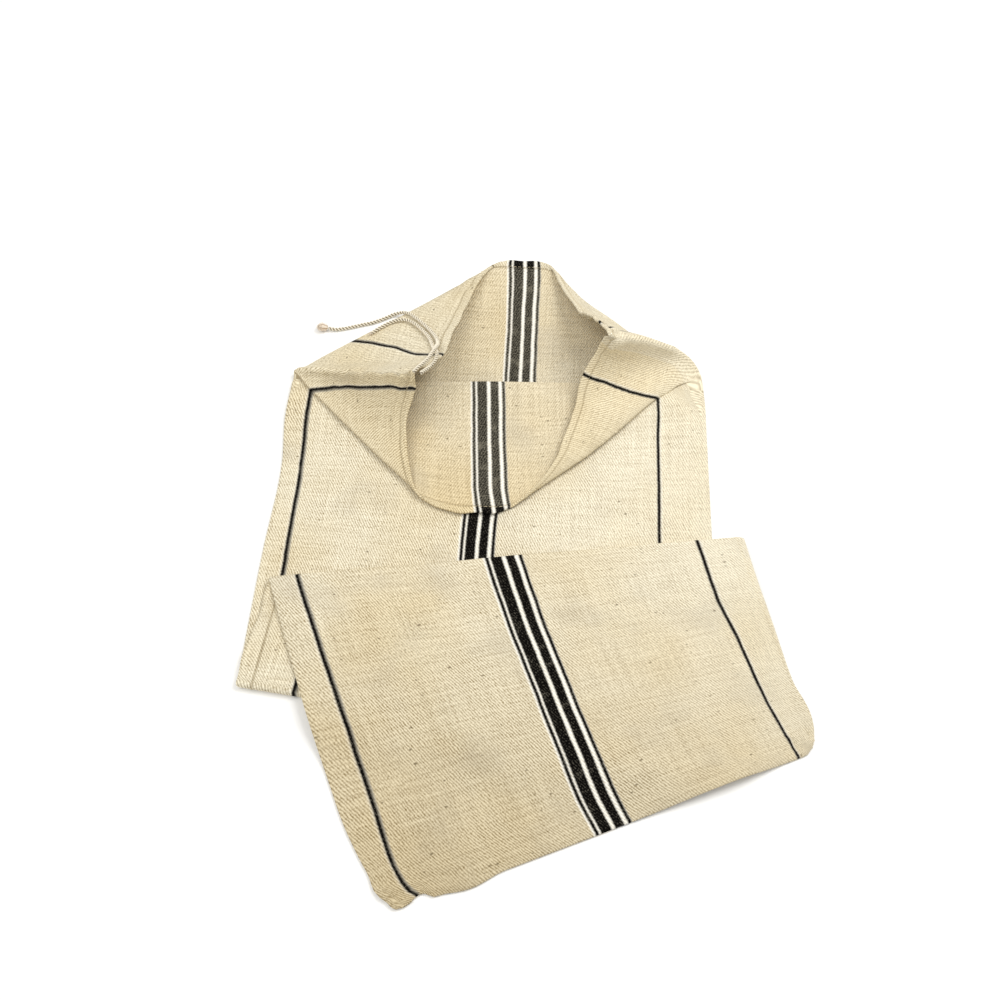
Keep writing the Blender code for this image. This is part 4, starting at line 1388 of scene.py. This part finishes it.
    def measure(self, rows: list[Row]) -> None:
        """Set out the grid: points, and each point's place round the tube and down from the hem."""
        self.panel = len(rows[0].front) - 1
        self.ring = 2 * self.panel
        back = slice(self.panel - 1, 0, -1)
        self.layers = [row.layer for row in rows]
        self.points = np.array([np.vstack([row.front, row.back[back]]) for row in rows])
        middle = self.panel // 2
        steps = np.linalg.norm(np.diff(self.points[:, [middle, middle + self.panel]], axis=0), axis=2)
        self.down = np.concatenate([[0.0], np.cumsum(steps.mean(axis=1))])
        hem = self.layers.index(Layer.LIP)
        marks = np.array([1.0 - row.share for row in rows[:hem]]) * self.mouth_deep
        self.down = np.concatenate([marks, self.down[hem:] - self.down[hem - 1] + marks[-1]])
        self.round = np.array([self.own_places(row, down) for row, down in zip(rows, self.down)])

    def own_places(self, row: Row, down: float) -> np.ndarray:
        """Each point's place round the cloth, which runs from 0 at one seam past the other and back.

        Args:
            row: a row of the tube.
            down: its distance from the hem.

        Returns:
            The places, from the left edge over the front panel and back under the back panel.
        """
        width = self.lay.tube_width
        turns, *stripes = (np.array(table) for table in (SIDE_TURNS, FRONT_STRIPES, BACK_STRIPES))
        left, right = read(down, turns[:, 0], turns[:, 1:])
        panels = []
        for table, across, ends in zip(
            stripes,
            (row.front_across, row.back_across),
            ((left, width + right), (-left, width - right)),
        ):
            lie = read(down, table[:, 0], table[:, 1:])
            panels.append(np.interp(across, [0.0, *lie, 1.0], [ends[0], *Twill.stripe_places, ends[1]]))
        return np.concatenate([panels[0], 2 * width - panels[1][self.panel - 1 : 0 : -1]])

    def normals(self) -> np.ndarray:
        """Each point's outward direction, from the faces round it."""
        p = self.points
        n = np.roll(p, -1, axis=1)
        faces = np.cross(p[1:] - n[:-1], n[1:] - p[:-1])
        total = np.zeros_like(p)
        for rows in (slice(0, -1), slice(1, None)):
            total[rows] += faces + np.roll(faces, 1, axis=1)
        last = total[-1]
        mirror = (self.ring - np.arange(self.ring)) % self.ring
        total[-1] = last + last[mirror]
        return unit(total)

    def from_seam(self) -> np.ndarray:
        """How many columns each column lies from the nearest side seam."""
        index = np.arange(self.ring) % self.panel
        return np.minimum(index, self.panel - index)

    def thicknesses(self) -> tuple[np.ndarray, np.ndarray]:
        """Half thicknesses outwards and inwards at each point."""
        half = np.full(self.points.shape[:2], self.lay.cloth / 2)
        side = 1.0 - soft_step((self.from_seam() / self.lay.edge_columns - 0.9) / 0.3)
        rows = np.array([layer in LAYERS["mouth"] for layer in self.layers])
        lip_start, bottom_start = self.pinch_starts
        near_lip = soft_step((self.down - lip_start * self.mouth_deep) / 0.02) * rows
        bottom = soft_step((self.down - self.down[-1] + bottom_start) / 0.02)
        pinch = np.maximum(near_lip, bottom)[:, None] * side
        half = half + pinch * (self.pinched / 2 - half)
        from_bead = (self.down / self.hem_wide - self.bead_middle) / (1.0 - self.bead_middle)
        bead = np.sqrt(np.clip(1.0 - from_bead**2, 0.0, 1.0)) * (self.down < self.hem_wide)
        return half + bead[:, None] * self.hem_out, half + bead[:, None] * self.hem_in

    def named(self, name: str) -> np.ndarray:
        """1 at the points of the layers that a name stands for, and 0 elsewhere."""
        rows = np.array([layer in LAYERS[name] for layer in self.layers], dtype=float)
        mask = np.repeat(rows[:, None], self.ring, axis=1)
        if name == "front":
            mask[:, self.panel + 1 :] = 0.0
        return mask

    def unevenness(self) -> None:
        """Let the layers rise and sink a little together, more in the upper ones."""
        x, y, z = self.points[..., 0], self.points[..., 1], self.points[..., 2]
        lifted = soft_step((z - 0.004) / 0.016)
        broad = Swell(0.15, seed=3).at(x, y)
        small = Swell(0.050, seed=8).at(x, y)
        swell = self.broad_swell * broad + self.small_swell * small
        self.points[..., 2] += lifted * swell * self.named("top")
        front = np.sin(math.pi * np.clip(np.arange(self.ring) / self.panel, 0.0, 1.0)) ** 0.5
        clear = soft_step((y - 0.03) / 0.05)
        puff = self.puff * (1.0 + Swell(0.07, seed=5).at(x, y))
        self.points[..., 2] += self.named("under") * front * clear * puff * (1.0 - lifted)

    def creases(self) -> None:
        """Press the soft creases in, up or down."""
        for name, x0, y0, x1, y1, wide, high in CREASES:
            start, line = np.array((x0, y0)), np.array((x1 - x0, y1 - y0))
            away = self.points[..., :2] - start
            along = away @ line / (line @ line)
            off = np.linalg.norm(away - np.clip(along, 0.0, 1.0)[..., None] * line, axis=-1)
            fade = soft_step(along / 0.25 + 0.4) * soft_step((1.0 - along) / 0.25 + 0.4)
            uneven = Swell(0.03, seed=int(1000 * abs(x0)) + 7).at(away[..., 0], away[..., 1])
            press = np.exp(-((off / wide) ** 2)) * fade * (1.0 + 0.35 * uneven) * high
            if name == "under":
                press = press * (np.arange(self.ring) < self.panel)
            self.points[..., 2] += press * self.named(name)

    def near(self, x: float, y: float, wide: float, long: float) -> np.ndarray:
        """1 in the middle of a place, 0 at its edge and less beyond it."""
        away = (self.points[..., :2] - (x, y)) / (wide, long)
        return 1.0 - np.sum(away**2, axis=-1)

    def pushes(self) -> None:
        """Shift the cloth where it has slid."""
        for name, *place, right, up, rise in PUSHES:
            near = np.clip(self.near(*place), 0.0, 1.0) ** 2 * self.named(name)
            self.points += near[..., None] * (right, up, rise)

    def rounded(self) -> None:
        """Ease the cloth sideways at its sharp corners; heights stay, so that layers keep their order."""
        free = soft_step((self.down - self.below_hem) / 0.02)[:, None]
        for *place, times in ROUNDED:
            self.ease(np.clip(self.near(*place), 0.0, 1.0) * free, times, slice(0, 2))

    def ease(self, near: np.ndarray, times: int, axes: slice) -> None:
        """Draw each point towards the middle of its neighbours, along some axes and so many times."""
        for _ in range(times):
            at = self.points[..., axes]
            around = np.roll(at, 1, axis=1) + np.roll(at, -1, axis=1)
            around[1:-1] += at[:-2] + at[2:]
            self.points[1:-1, :, axes] += 0.5 * near[1:-1, :, None] * (around[1:-1] / 4.0 - at[1:-1])

    def opened(self) -> None:
        """Open the ends of creases in the front panel, less so at its right seam."""
        inside = self.panel - np.arange(self.ring)
        front = soft_step((inside + 5.0) / 14.0) * (inside >= 0) * (self.down > 0.03)[:, None]
        for *place, times in OPENED:
            self.ease(soft_step(1.6 * self.near(*place)) * front, times, slice(0, 3))

    def crumples(self) -> None:
        """Crumple the cloth here and there, both panels alike so that they stay apart."""
        for name, x, y, z, reach, high, size, seed in CRUMPLES:
            away = self.points - (x, y, z)
            near = np.clip(1.0 - np.sum(away**2, axis=-1) / reach**2, 0.0, 1.0) ** 2 * self.named(name)
            lean = self.points[..., 2] * 0.7
            for axis in range(3):
                wave = Swell(size, seed=seed * 10 + axis, waves=7)
                wave = wave.at(self.points[..., 0] + lean, self.points[..., 1] - lean)
                self.points[..., axis] += near * high * wave
        self.points[..., 2] = np.maximum(self.points[..., 2], self.lay.cloth / 2)

    def wave_hem(self) -> None:
        """Let the hem's edge wander in and out, and up and down a little."""
        fall = np.clip(1.0 - self.down / self.hem_wave_deep, 0.0, 1.0) ** 2
        inside = int(np.searchsorted(self.down, 0.015))
        outwards = unit(self.points[0] - self.points[inside])
        place = self.round[0]
        wander = Swell(self.hem_wave_long, seed=41).at(place, 0.0 * place)
        ripple = Swell(self.hem_wave_long * 0.5, seed=42).at(place, 0.0 * place)
        out = self.normals()[0]
        shift = self.hem_wave * (wander[:, None] * outwards + 0.6 * ripple[:, None] * out)
        shift *= soft_step(self.from_seam() / 4.0)[:, None]
        self.points += fall[:, None, None] * shift

    def skins(self) -> np.ndarray:
        """The shell's points: the outer skin's, the inner skin's, and the rim's between them."""
        self.out = self.normals()
        outer, inner = self.thicknesses()
        self.outer_skin = self.points + self.out * outer[..., None]
        self.inner_skin = self.points - self.out * inner[..., None]
        back_out = unit(self.points[0] - self.points[1])
        middle = (self.outer_skin[0] + self.inner_skin[0]) / 2
        half = (outer[0] + inner[0])[:, None] / 2
        turns = [math.pi * i / self.rim_turns for i in range(1, self.rim_turns)]
        rim = [middle + half * (math.cos(t) * self.out[0] + 0.8 * math.sin(t) * back_out) for t in turns]
        return np.vstack([self.outer_skin.reshape(-1, 3), self.inner_skin.reshape(-1, 3), *rim])

    def shell(self) -> tuple[list, list, list]:
        """The shell's faces, each face's corners on the flat cloth, and its material."""
        ring, last = self.ring, len(self.down) - 1
        skin = (last + 1) * ring
        rims = [0, *(2 * skin + i * ring for i in range(self.rim_turns - 1)), skin]
        hem_row = int(np.searchsorted(self.down, self.hem_wide))
        # the column past the last is the first again, one whole turn on
        rolled = np.column_stack([self.round, self.round[:, 0] + 2 * self.lay.tube_width])

        def number(r: int, k: int) -> int:
            k %= ring  # both panels share the points of the last row
            return r * ring + (k if r < last or k <= self.panel else ring - k)

        faces, places, slots = [], [], []
        for quad in quads(last, ring):
            in_hem = quad[0][0] < hem_row
            corners = [number(r, k) for r, k in quad]
            face = [(rolled[r, k], self.down[r]) for r, k in quad]
            reverse = [(across, -down) for across, down in face] if in_hem else face
            faces += [corners, [skin + corner for corner in corners[::-1]]]
            places += [face, reverse[::-1]]
            slots += [0, 0 if in_hem else 1]
        for quad in quads(self.rim_turns, ring, turned=True):
            faces.append([rims[i] + k % ring for i, k in quad])
            places.append([(rolled[0, k], 0.0) for _, k in quad])
            slots.append(0)
        return faces, places, slots

    def build(self) -> bpy.types.Object:
        self.measure(self.rows())
        for change in (
            self.unevenness,
            self.creases,
            self.pushes,
            self.rounded,
            self.opened,
            self.crumples,
            self.wave_hem,
        ):
            change()
        vertices = self.skins()
        faces, places, slots = self.shell()
        piece = make("cloth", vertices.tolist(), faces, "weave", places)
        mesh = piece.data
        mesh.polygons.foreach_set("material_index", slots)
        self.tidy(mesh)
        twill = Twill(self.lay.tube_width)
        mesh.materials.append(twill.material(Face.OUTER))
        mesh.materials.append(twill.material(Face.INNER))
        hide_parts("sack_cloth")
        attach(piece, "root")
        stitches = self.stitches()
        log.info("cloth: %d faces", len(mesh.polygons))
        return piece

    def stitches(self) -> list[bpy.types.Object]:
        """Sew the hem on both its faces, and overcast the two side seams."""
        thread = LinenThread().material()
        return [
            Threads(name, *size, seed=seed).build(*self.clear_of_floor(found), thread, "cloth")
            for name, size, seed, found in (
                ("hem_stitches", self.hem_stitch, 5, self.hem_line_stitches()),
                ("seam_stitches", self.seam_stitch, 6, self.seam_line_stitches()),
            )
        ]

    def hem_line_stitches(self) -> list[tuple]:
        """Each face's hem stitches: their places, their directions and the sides they are arched to."""
        row = int(np.argmin(np.abs(self.down - self.hem_line)))
        around = self.round[row]
        marks = np.arange(around[0] + self.stitch_start, around[-1], self.hem_pitch)
        found = []
        for skin, sign, offset in ((self.outer_skin, 1.0, 0.0), (self.inner_skin, -1.0, 0.5)):
            at = marks + offset * self.hem_pitch
            line, out = read(at, around, skin[row]), read(at, around, sign * self.out[row])
            found.append((line, unit(np.gradient(line, axis=0)), unit(out)))
        return found

    def seam_line_stitches(self) -> list[tuple]:
        """The same for the stitches of each side seam, which slant round it."""
        below = self.down > self.below_hem
        found = []
        for seam in (self.lay.tube_width, 2 * self.lay.tube_width):
            line, ahead, facing = (
                np.array([read(at, around, row) for around, row in zip(self.round[below], table[below])])
                for at, table in (
                    (seam, self.outer_skin),
                    (seam + self.stitch_reach, self.outer_skin),
                    (seam, self.out),
                )
            )
            run = distances(line)
            marks = np.arange(self.seam_start, run[-1], self.seam_pitch)
            point, beyond, out = (read(marks, run, table) for table in (line, ahead, facing))
            slant = unit(unit(np.gradient(point, axis=0)) + 0.8 * unit(beyond - point))
            found.append((point, slant, unit(out)))
        return found

    @staticmethod
    def clear_of_floor(found: list[tuple]) -> list[np.ndarray]:
        """The places, directions and sides of the stitches not pressed between cloth and floor."""
        places, along, out = (np.vstack(parts) for parts in zip(*found))
        clear = places[:, 2] + 0.002 * np.minimum(out[:, 2], 0.0) > 0.0009
        return [places[clear], along[clear], out[clear]]

    @staticmethod
    def tidy(mesh: bpy.types.Mesh) -> None:
        """Drop the points that the shared bottom row leaves unused."""
        shape = bmesh.new()
        shape.from_mesh(mesh)
        loose = [v for v in shape.verts if not v.link_faces]
        bmesh.ops.delete(shape, geom=loose, context="VERTS")
        shape.to_mesh(mesh)
        shape.free()


# ---- the tie --------------------------------------------------------------------------------------


@dataclass
class Strand:
    """One strand of the tie: two plies twisted together, as one closed skin."""

    name: str
    node: str
    route: tuple
    diameter: float = 0.0054
    ply: float = 0.00142  # radius of each ply
    twist: float = 0.0088  # length of one whole turn
    step: float = 0.0006  # between rings of the skin
    sides: int = 26
    round_off: float = 0.0012  # how far from its ends it starts to close

    def path(self) -> np.ndarray:
        """The smooth line through the route's points."""
        points = np.array(self.route)
        length = distances(points)[-1]
        return through(marks_along(points), points, np.linspace(0.0, 1.0, int(length / self.step) + 1))

    def skin(self, path: np.ndarray) -> bpy.types.Object:
        """The two plies' common outline, turned along the path and closed at both ends."""
        tangent = unit(np.gradient(path, axis=0))
        side = np.zeros_like(path)
        side[0] = unit(np.cross(tangent[0], (0.0, 0.0, 1.0)))
        for i in range(1, len(path)):
            side[i] = unit(side[i - 1] - tangent[i] * np.dot(side[i - 1], tangent[i]))
        up = np.cross(tangent, side)
        along = distances(path)
        offset = self.diameter / 2 - self.ply
        angles = np.arange(self.sides) * 2 * math.pi / self.sides
        hollow = np.sqrt(np.maximum(self.ply**2 - (offset * np.sin(angles)) ** 2, 0.0))
        radius = offset * np.abs(np.cos(angles)) + hollow
        ends = np.minimum(np.minimum(along, along[-1] - along) / self.round_off, 1.0)
        close = np.sqrt(np.maximum(0.0, 1.0 - (1.0 - ends) ** 2))
        turned = (angles + 2 * math.pi * along[:, None] / self.twist)[..., None]
        reach = (radius * close[:, None])[..., None]
        rings = path[:, None] + reach * (np.cos(turned) * side[:, None] + np.sin(turned) * up[:, None])
        vertices = np.vstack([rings[1:-1].reshape(-1, 3), path[:1], path[-1:]])
        sides, girth = self.sides, CottonCord.girth
        first = len(vertices) - 2
        base = first - sides
        faces, places = [], []
        for quad in quads(len(path) - 3, sides, turned=True):
            faces.append([r * sides + k % sides for r, k in quad])
            places += [(girth * k / sides, along[r + 1]) for r, k in quad]
        for k in range(sides):
            n = (k + 1) % sides
            left, right = girth * k / sides, girth * (k + 1) / sides
            faces += [(first, n, k), (first + 1, base + k, base + n)]
            places += [(0.0, 0.0), (right, 0.0), (left, 0.0)]
            places += [(0.0, along[-1]), (left, along[-1]), (right, along[-1])]
        return make(self.name, vertices.tolist(), faces, "lay", places)

    def build(self, material: bpy.types.Material, far_end: str, on_it: list) -> bpy.types.Object:
        """Args:
            material: its finish.
            far_end: what is on its end; not used.
            on_it: the pieces on it; not used.

        Returns:
            The strand.
        """
        path = self.path()
        piece = self.skin(path)
        piece.data.materials.append(material)
        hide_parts(self.node)
        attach(piece, "root")
        return piece


@dataclass
class FrayedKnot:
    """The knot at the end of the long strand: a lump of wound cord with a tuft of loose fibres."""

    long: float = 0.0140
    wide: float = 0.0110
    high: float = 0.0100
    touch: float = 0.0003
    groove: float = 0.0010  # depth of the grooves between its windings
    windings: int = 3
    fibres: int = 240
    fibre_long: float = 0.0052
    fibre_thick: float = 0.00024  # drawn thicker than real fibres, which are too fine to show
    fibre_rise: float = 0.0009
    lowest: float = 0.0022  # of the fibres' middles, so that none sinks into the floor
    sunk: float = 0.9  # how far out from the knot's middle they start
    rings: int = 30
    sides: int = 44

    def fray(self, material: bpy.types.Material) -> bpy.types.Object:
        """Loose fibres out of the knot, most of them at its far end, and out of the short strand's end."""
        draw = np.random.default_rng(11)
        end, before = np.array(LONG_TIE[-1]), np.array(LONG_TIE[-2])
        along = unit((end - before) * (1.0, 1.0, 0.0))
        middle = end + along * (self.long / 2 + self.touch)
        middle[2] = self.high / 2 + self.touch
        ways = unit(draw.normal(size=(self.fibres, 3)) + 0.9 * along)
        ways[:, 2] = np.abs(ways[:, 2])
        places = middle + ways * [self.sunk * size / 2 for size in (self.long, self.wide, self.high)]
        tip, inside = np.array(SHORT_TIE[-1]), np.array(SHORT_TIE[-2])
        outwards = unit(tip - inside)
        few = self.fibres // 4
        tip_ways = unit(0.5 * draw.normal(size=(few, 3)) + outwards)
        tip_ways[:, 2] = np.abs(tip_ways[:, 2])
        ways = np.vstack([ways, tip_ways])
        places = np.vstack([places, tip + 0.0006 * draw.normal(size=(few, 3))])
        bend = np.cross(ways, unit(draw.normal(size=ways.shape)))
        size = (self.fibre_long, self.fibre_thick, self.fibre_rise)
        threads = Threads("fibres", *size, vary=0.4, seed=7, bends=5, sides=3)
        places[:, 2] = np.maximum(places[:, 2], self.lowest)
        return threads.build(places, ways, unit(bend), material, "cord")

    def build(self, material: bpy.types.Material) -> bpy.types.Object:
        """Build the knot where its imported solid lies."""
        before, end = Vector(LONG_TIE[-2]), Vector(LONG_TIE[-1])
        along = end - before
        along.z = 0.0
        along.normalize()
        middle = end + along * (self.long / 2 + self.touch)
        middle.z = self.high / 2 + self.touch
        side = Vector((-along.y, along.x, 0.0))
        radii = [size / 2 for size in (self.long, self.wide, self.high)]
        rings, sides = self.rings, self.sides
        vertices = []
        for i in range(rings + 1):
            tilt = math.pi * i / rings
            for k in range(sides):
                turn = 2 * math.pi * k / sides
                x, girth = math.cos(tilt), math.sin(tilt)
                y, z = girth * math.cos(turn), girth * math.sin(turn)
                wound = math.sin(self.windings * (math.pi * x) + 1.0 * turn + 0.8 * y * z)
                lumps = 0.8 * math.sin(5 * y + 2 * x + 1.0) * math.sin(4 * z - 3 * x)
                shrink = self.groove * (0.5 - 0.5 * wound + 0.5 * lumps) * girth**0.5
                place = Vector([(radius - shrink) * far for radius, far in zip(radii, (x, y, z))])
                vertices.append(middle + along * place.x + side * place.y + Vector((0.0, 0.0, place.z)))
        grid = quads(rings, sides)
        faces = [[i * sides + k % sides for i, k in quad] for quad in grid]
        places = [(k * math.pi * self.wide / sides, i * self.long / rings) for quad in grid for i, k in quad]
        piece = make("frayed_knot", vertices, faces, "lay", places)
        piece.data.materials.append(material)
        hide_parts("tie_knot")
        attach(piece, "root")
        log.info("frayed_knot: %d faces", len(piece.data.polygons))
        return piece


@dataclass
class Tie:
    """The cord tie sewn to the mouth's left corner."""

    def build(self) -> None:
        """Build both strands and the knot."""
        material = CottonCord().material()
        # its groove colour is painted shade, laid in bands across the knot
        frayed = CottonCord(name="frayed cotton", pale="#F8EEDF", shade="#D8C3A8", groove="#BDA488")
        frayed = frayed.material()
        lump = FrayedKnot()
        knot = lump.build(frayed)
        fibres = lump.fray(frayed)
        Strand("long_strand", "tie_long", LONG_TIE).build(material, "knot", [knot, fibres])
        Strand("short_strand", "tie_short", SHORT_TIE).build(material, "bare", [])


# ---- floor, lights and camera ---------------------------------------------------------------------


@dataclass
class Studio:
    """A plain pale floor, soft light and the photograph's view."""

    eye: tuple[float, float, float] = (-0.0265, -0.627, 1.35)
    look_down: tuple[float, float] = (0.454, 0.891)  # forward and down
    lens: float = 42.7
    sensor: float = 36.0
    floor_size: float = 8.0
    sky: str = "#FFFDFA"
    sky_strength: float = 0.60
    lamps: tuple = (  # name, place, size, power
        ("window", (1.1, 0.7, 2.1), 1.2, 32.0),
        ("ceiling", (-1.2, -0.2, 2.5), 2.0, 28.0),
    )

    def camera(self) -> None:
        """Set the camera."""
        forward, down = self.look_down
        data = bpy.data.cameras.new("camera")
        data.lens = self.lens
        data.sensor_width = self.sensor
        data.sensor_fit = "HORIZONTAL"
        data.clip_start = 0.01
        camera = bpy.data.objects.new("camera", data)
        camera.location = self.eye
        camera.rotation_euler = (math.pi / 2 - math.atan2(down, forward), 0.0, 0.0)
        bpy.context.scene.collection.objects.link(camera)
        bpy.context.scene.camera = camera

    @staticmethod
    def lamp(name: str, place: tuple, size: float, power: float) -> None:
        """Add a square area light that looks at the sack."""
        data = bpy.data.lights.new(name, "AREA")
        data.size = size
        data.energy = power
        lamp = bpy.data.objects.new(name, data)
        lamp.location = place
        lamp.rotation_euler = (-Vector(place)).to_track_quat("-Z", "Y").to_euler()
        bpy.context.scene.collection.objects.link(lamp)

    def build(self) -> None:
        """Set the floor, the lights and the camera."""
        half = self.floor_size / 2
        mesh = bpy.data.meshes.new("floor")
        corners = [(-half, -half, 0.0), (half, -half, 0.0), (half, half, 0.0), (-half, half, 0.0)]
        mesh.from_pydata(corners, [], [(0, 1, 2, 3)])
        mesh.materials.append(PaintedFloor().material())
        floor = bpy.data.objects.new("floor", mesh)
        bpy.context.scene.collection.objects.link(floor)
        world = bpy.data.worlds.new("studio")
        world.use_nodes = True
        background = world.node_tree.nodes["Background"]
        background.inputs["Color"].default_value = linear(self.sky)
        background.inputs["Strength"].default_value = self.sky_strength
        bpy.context.scene.world = world
        bpy.context.scene.view_settings.view_transform = "Standard"
        for lamp in self.lamps:
            self.lamp(*lamp)
        self.camera()


def main() -> None:
    """Build the pieces in order."""
    logging.basicConfig(level=logging.INFO, format="%(name)s: %(message)s")
    Studio().build()
    Tie().build()
    Sack(Lay()).build()
    bpy.context.view_layer.update()


if __name__ == "__main__":
    main()
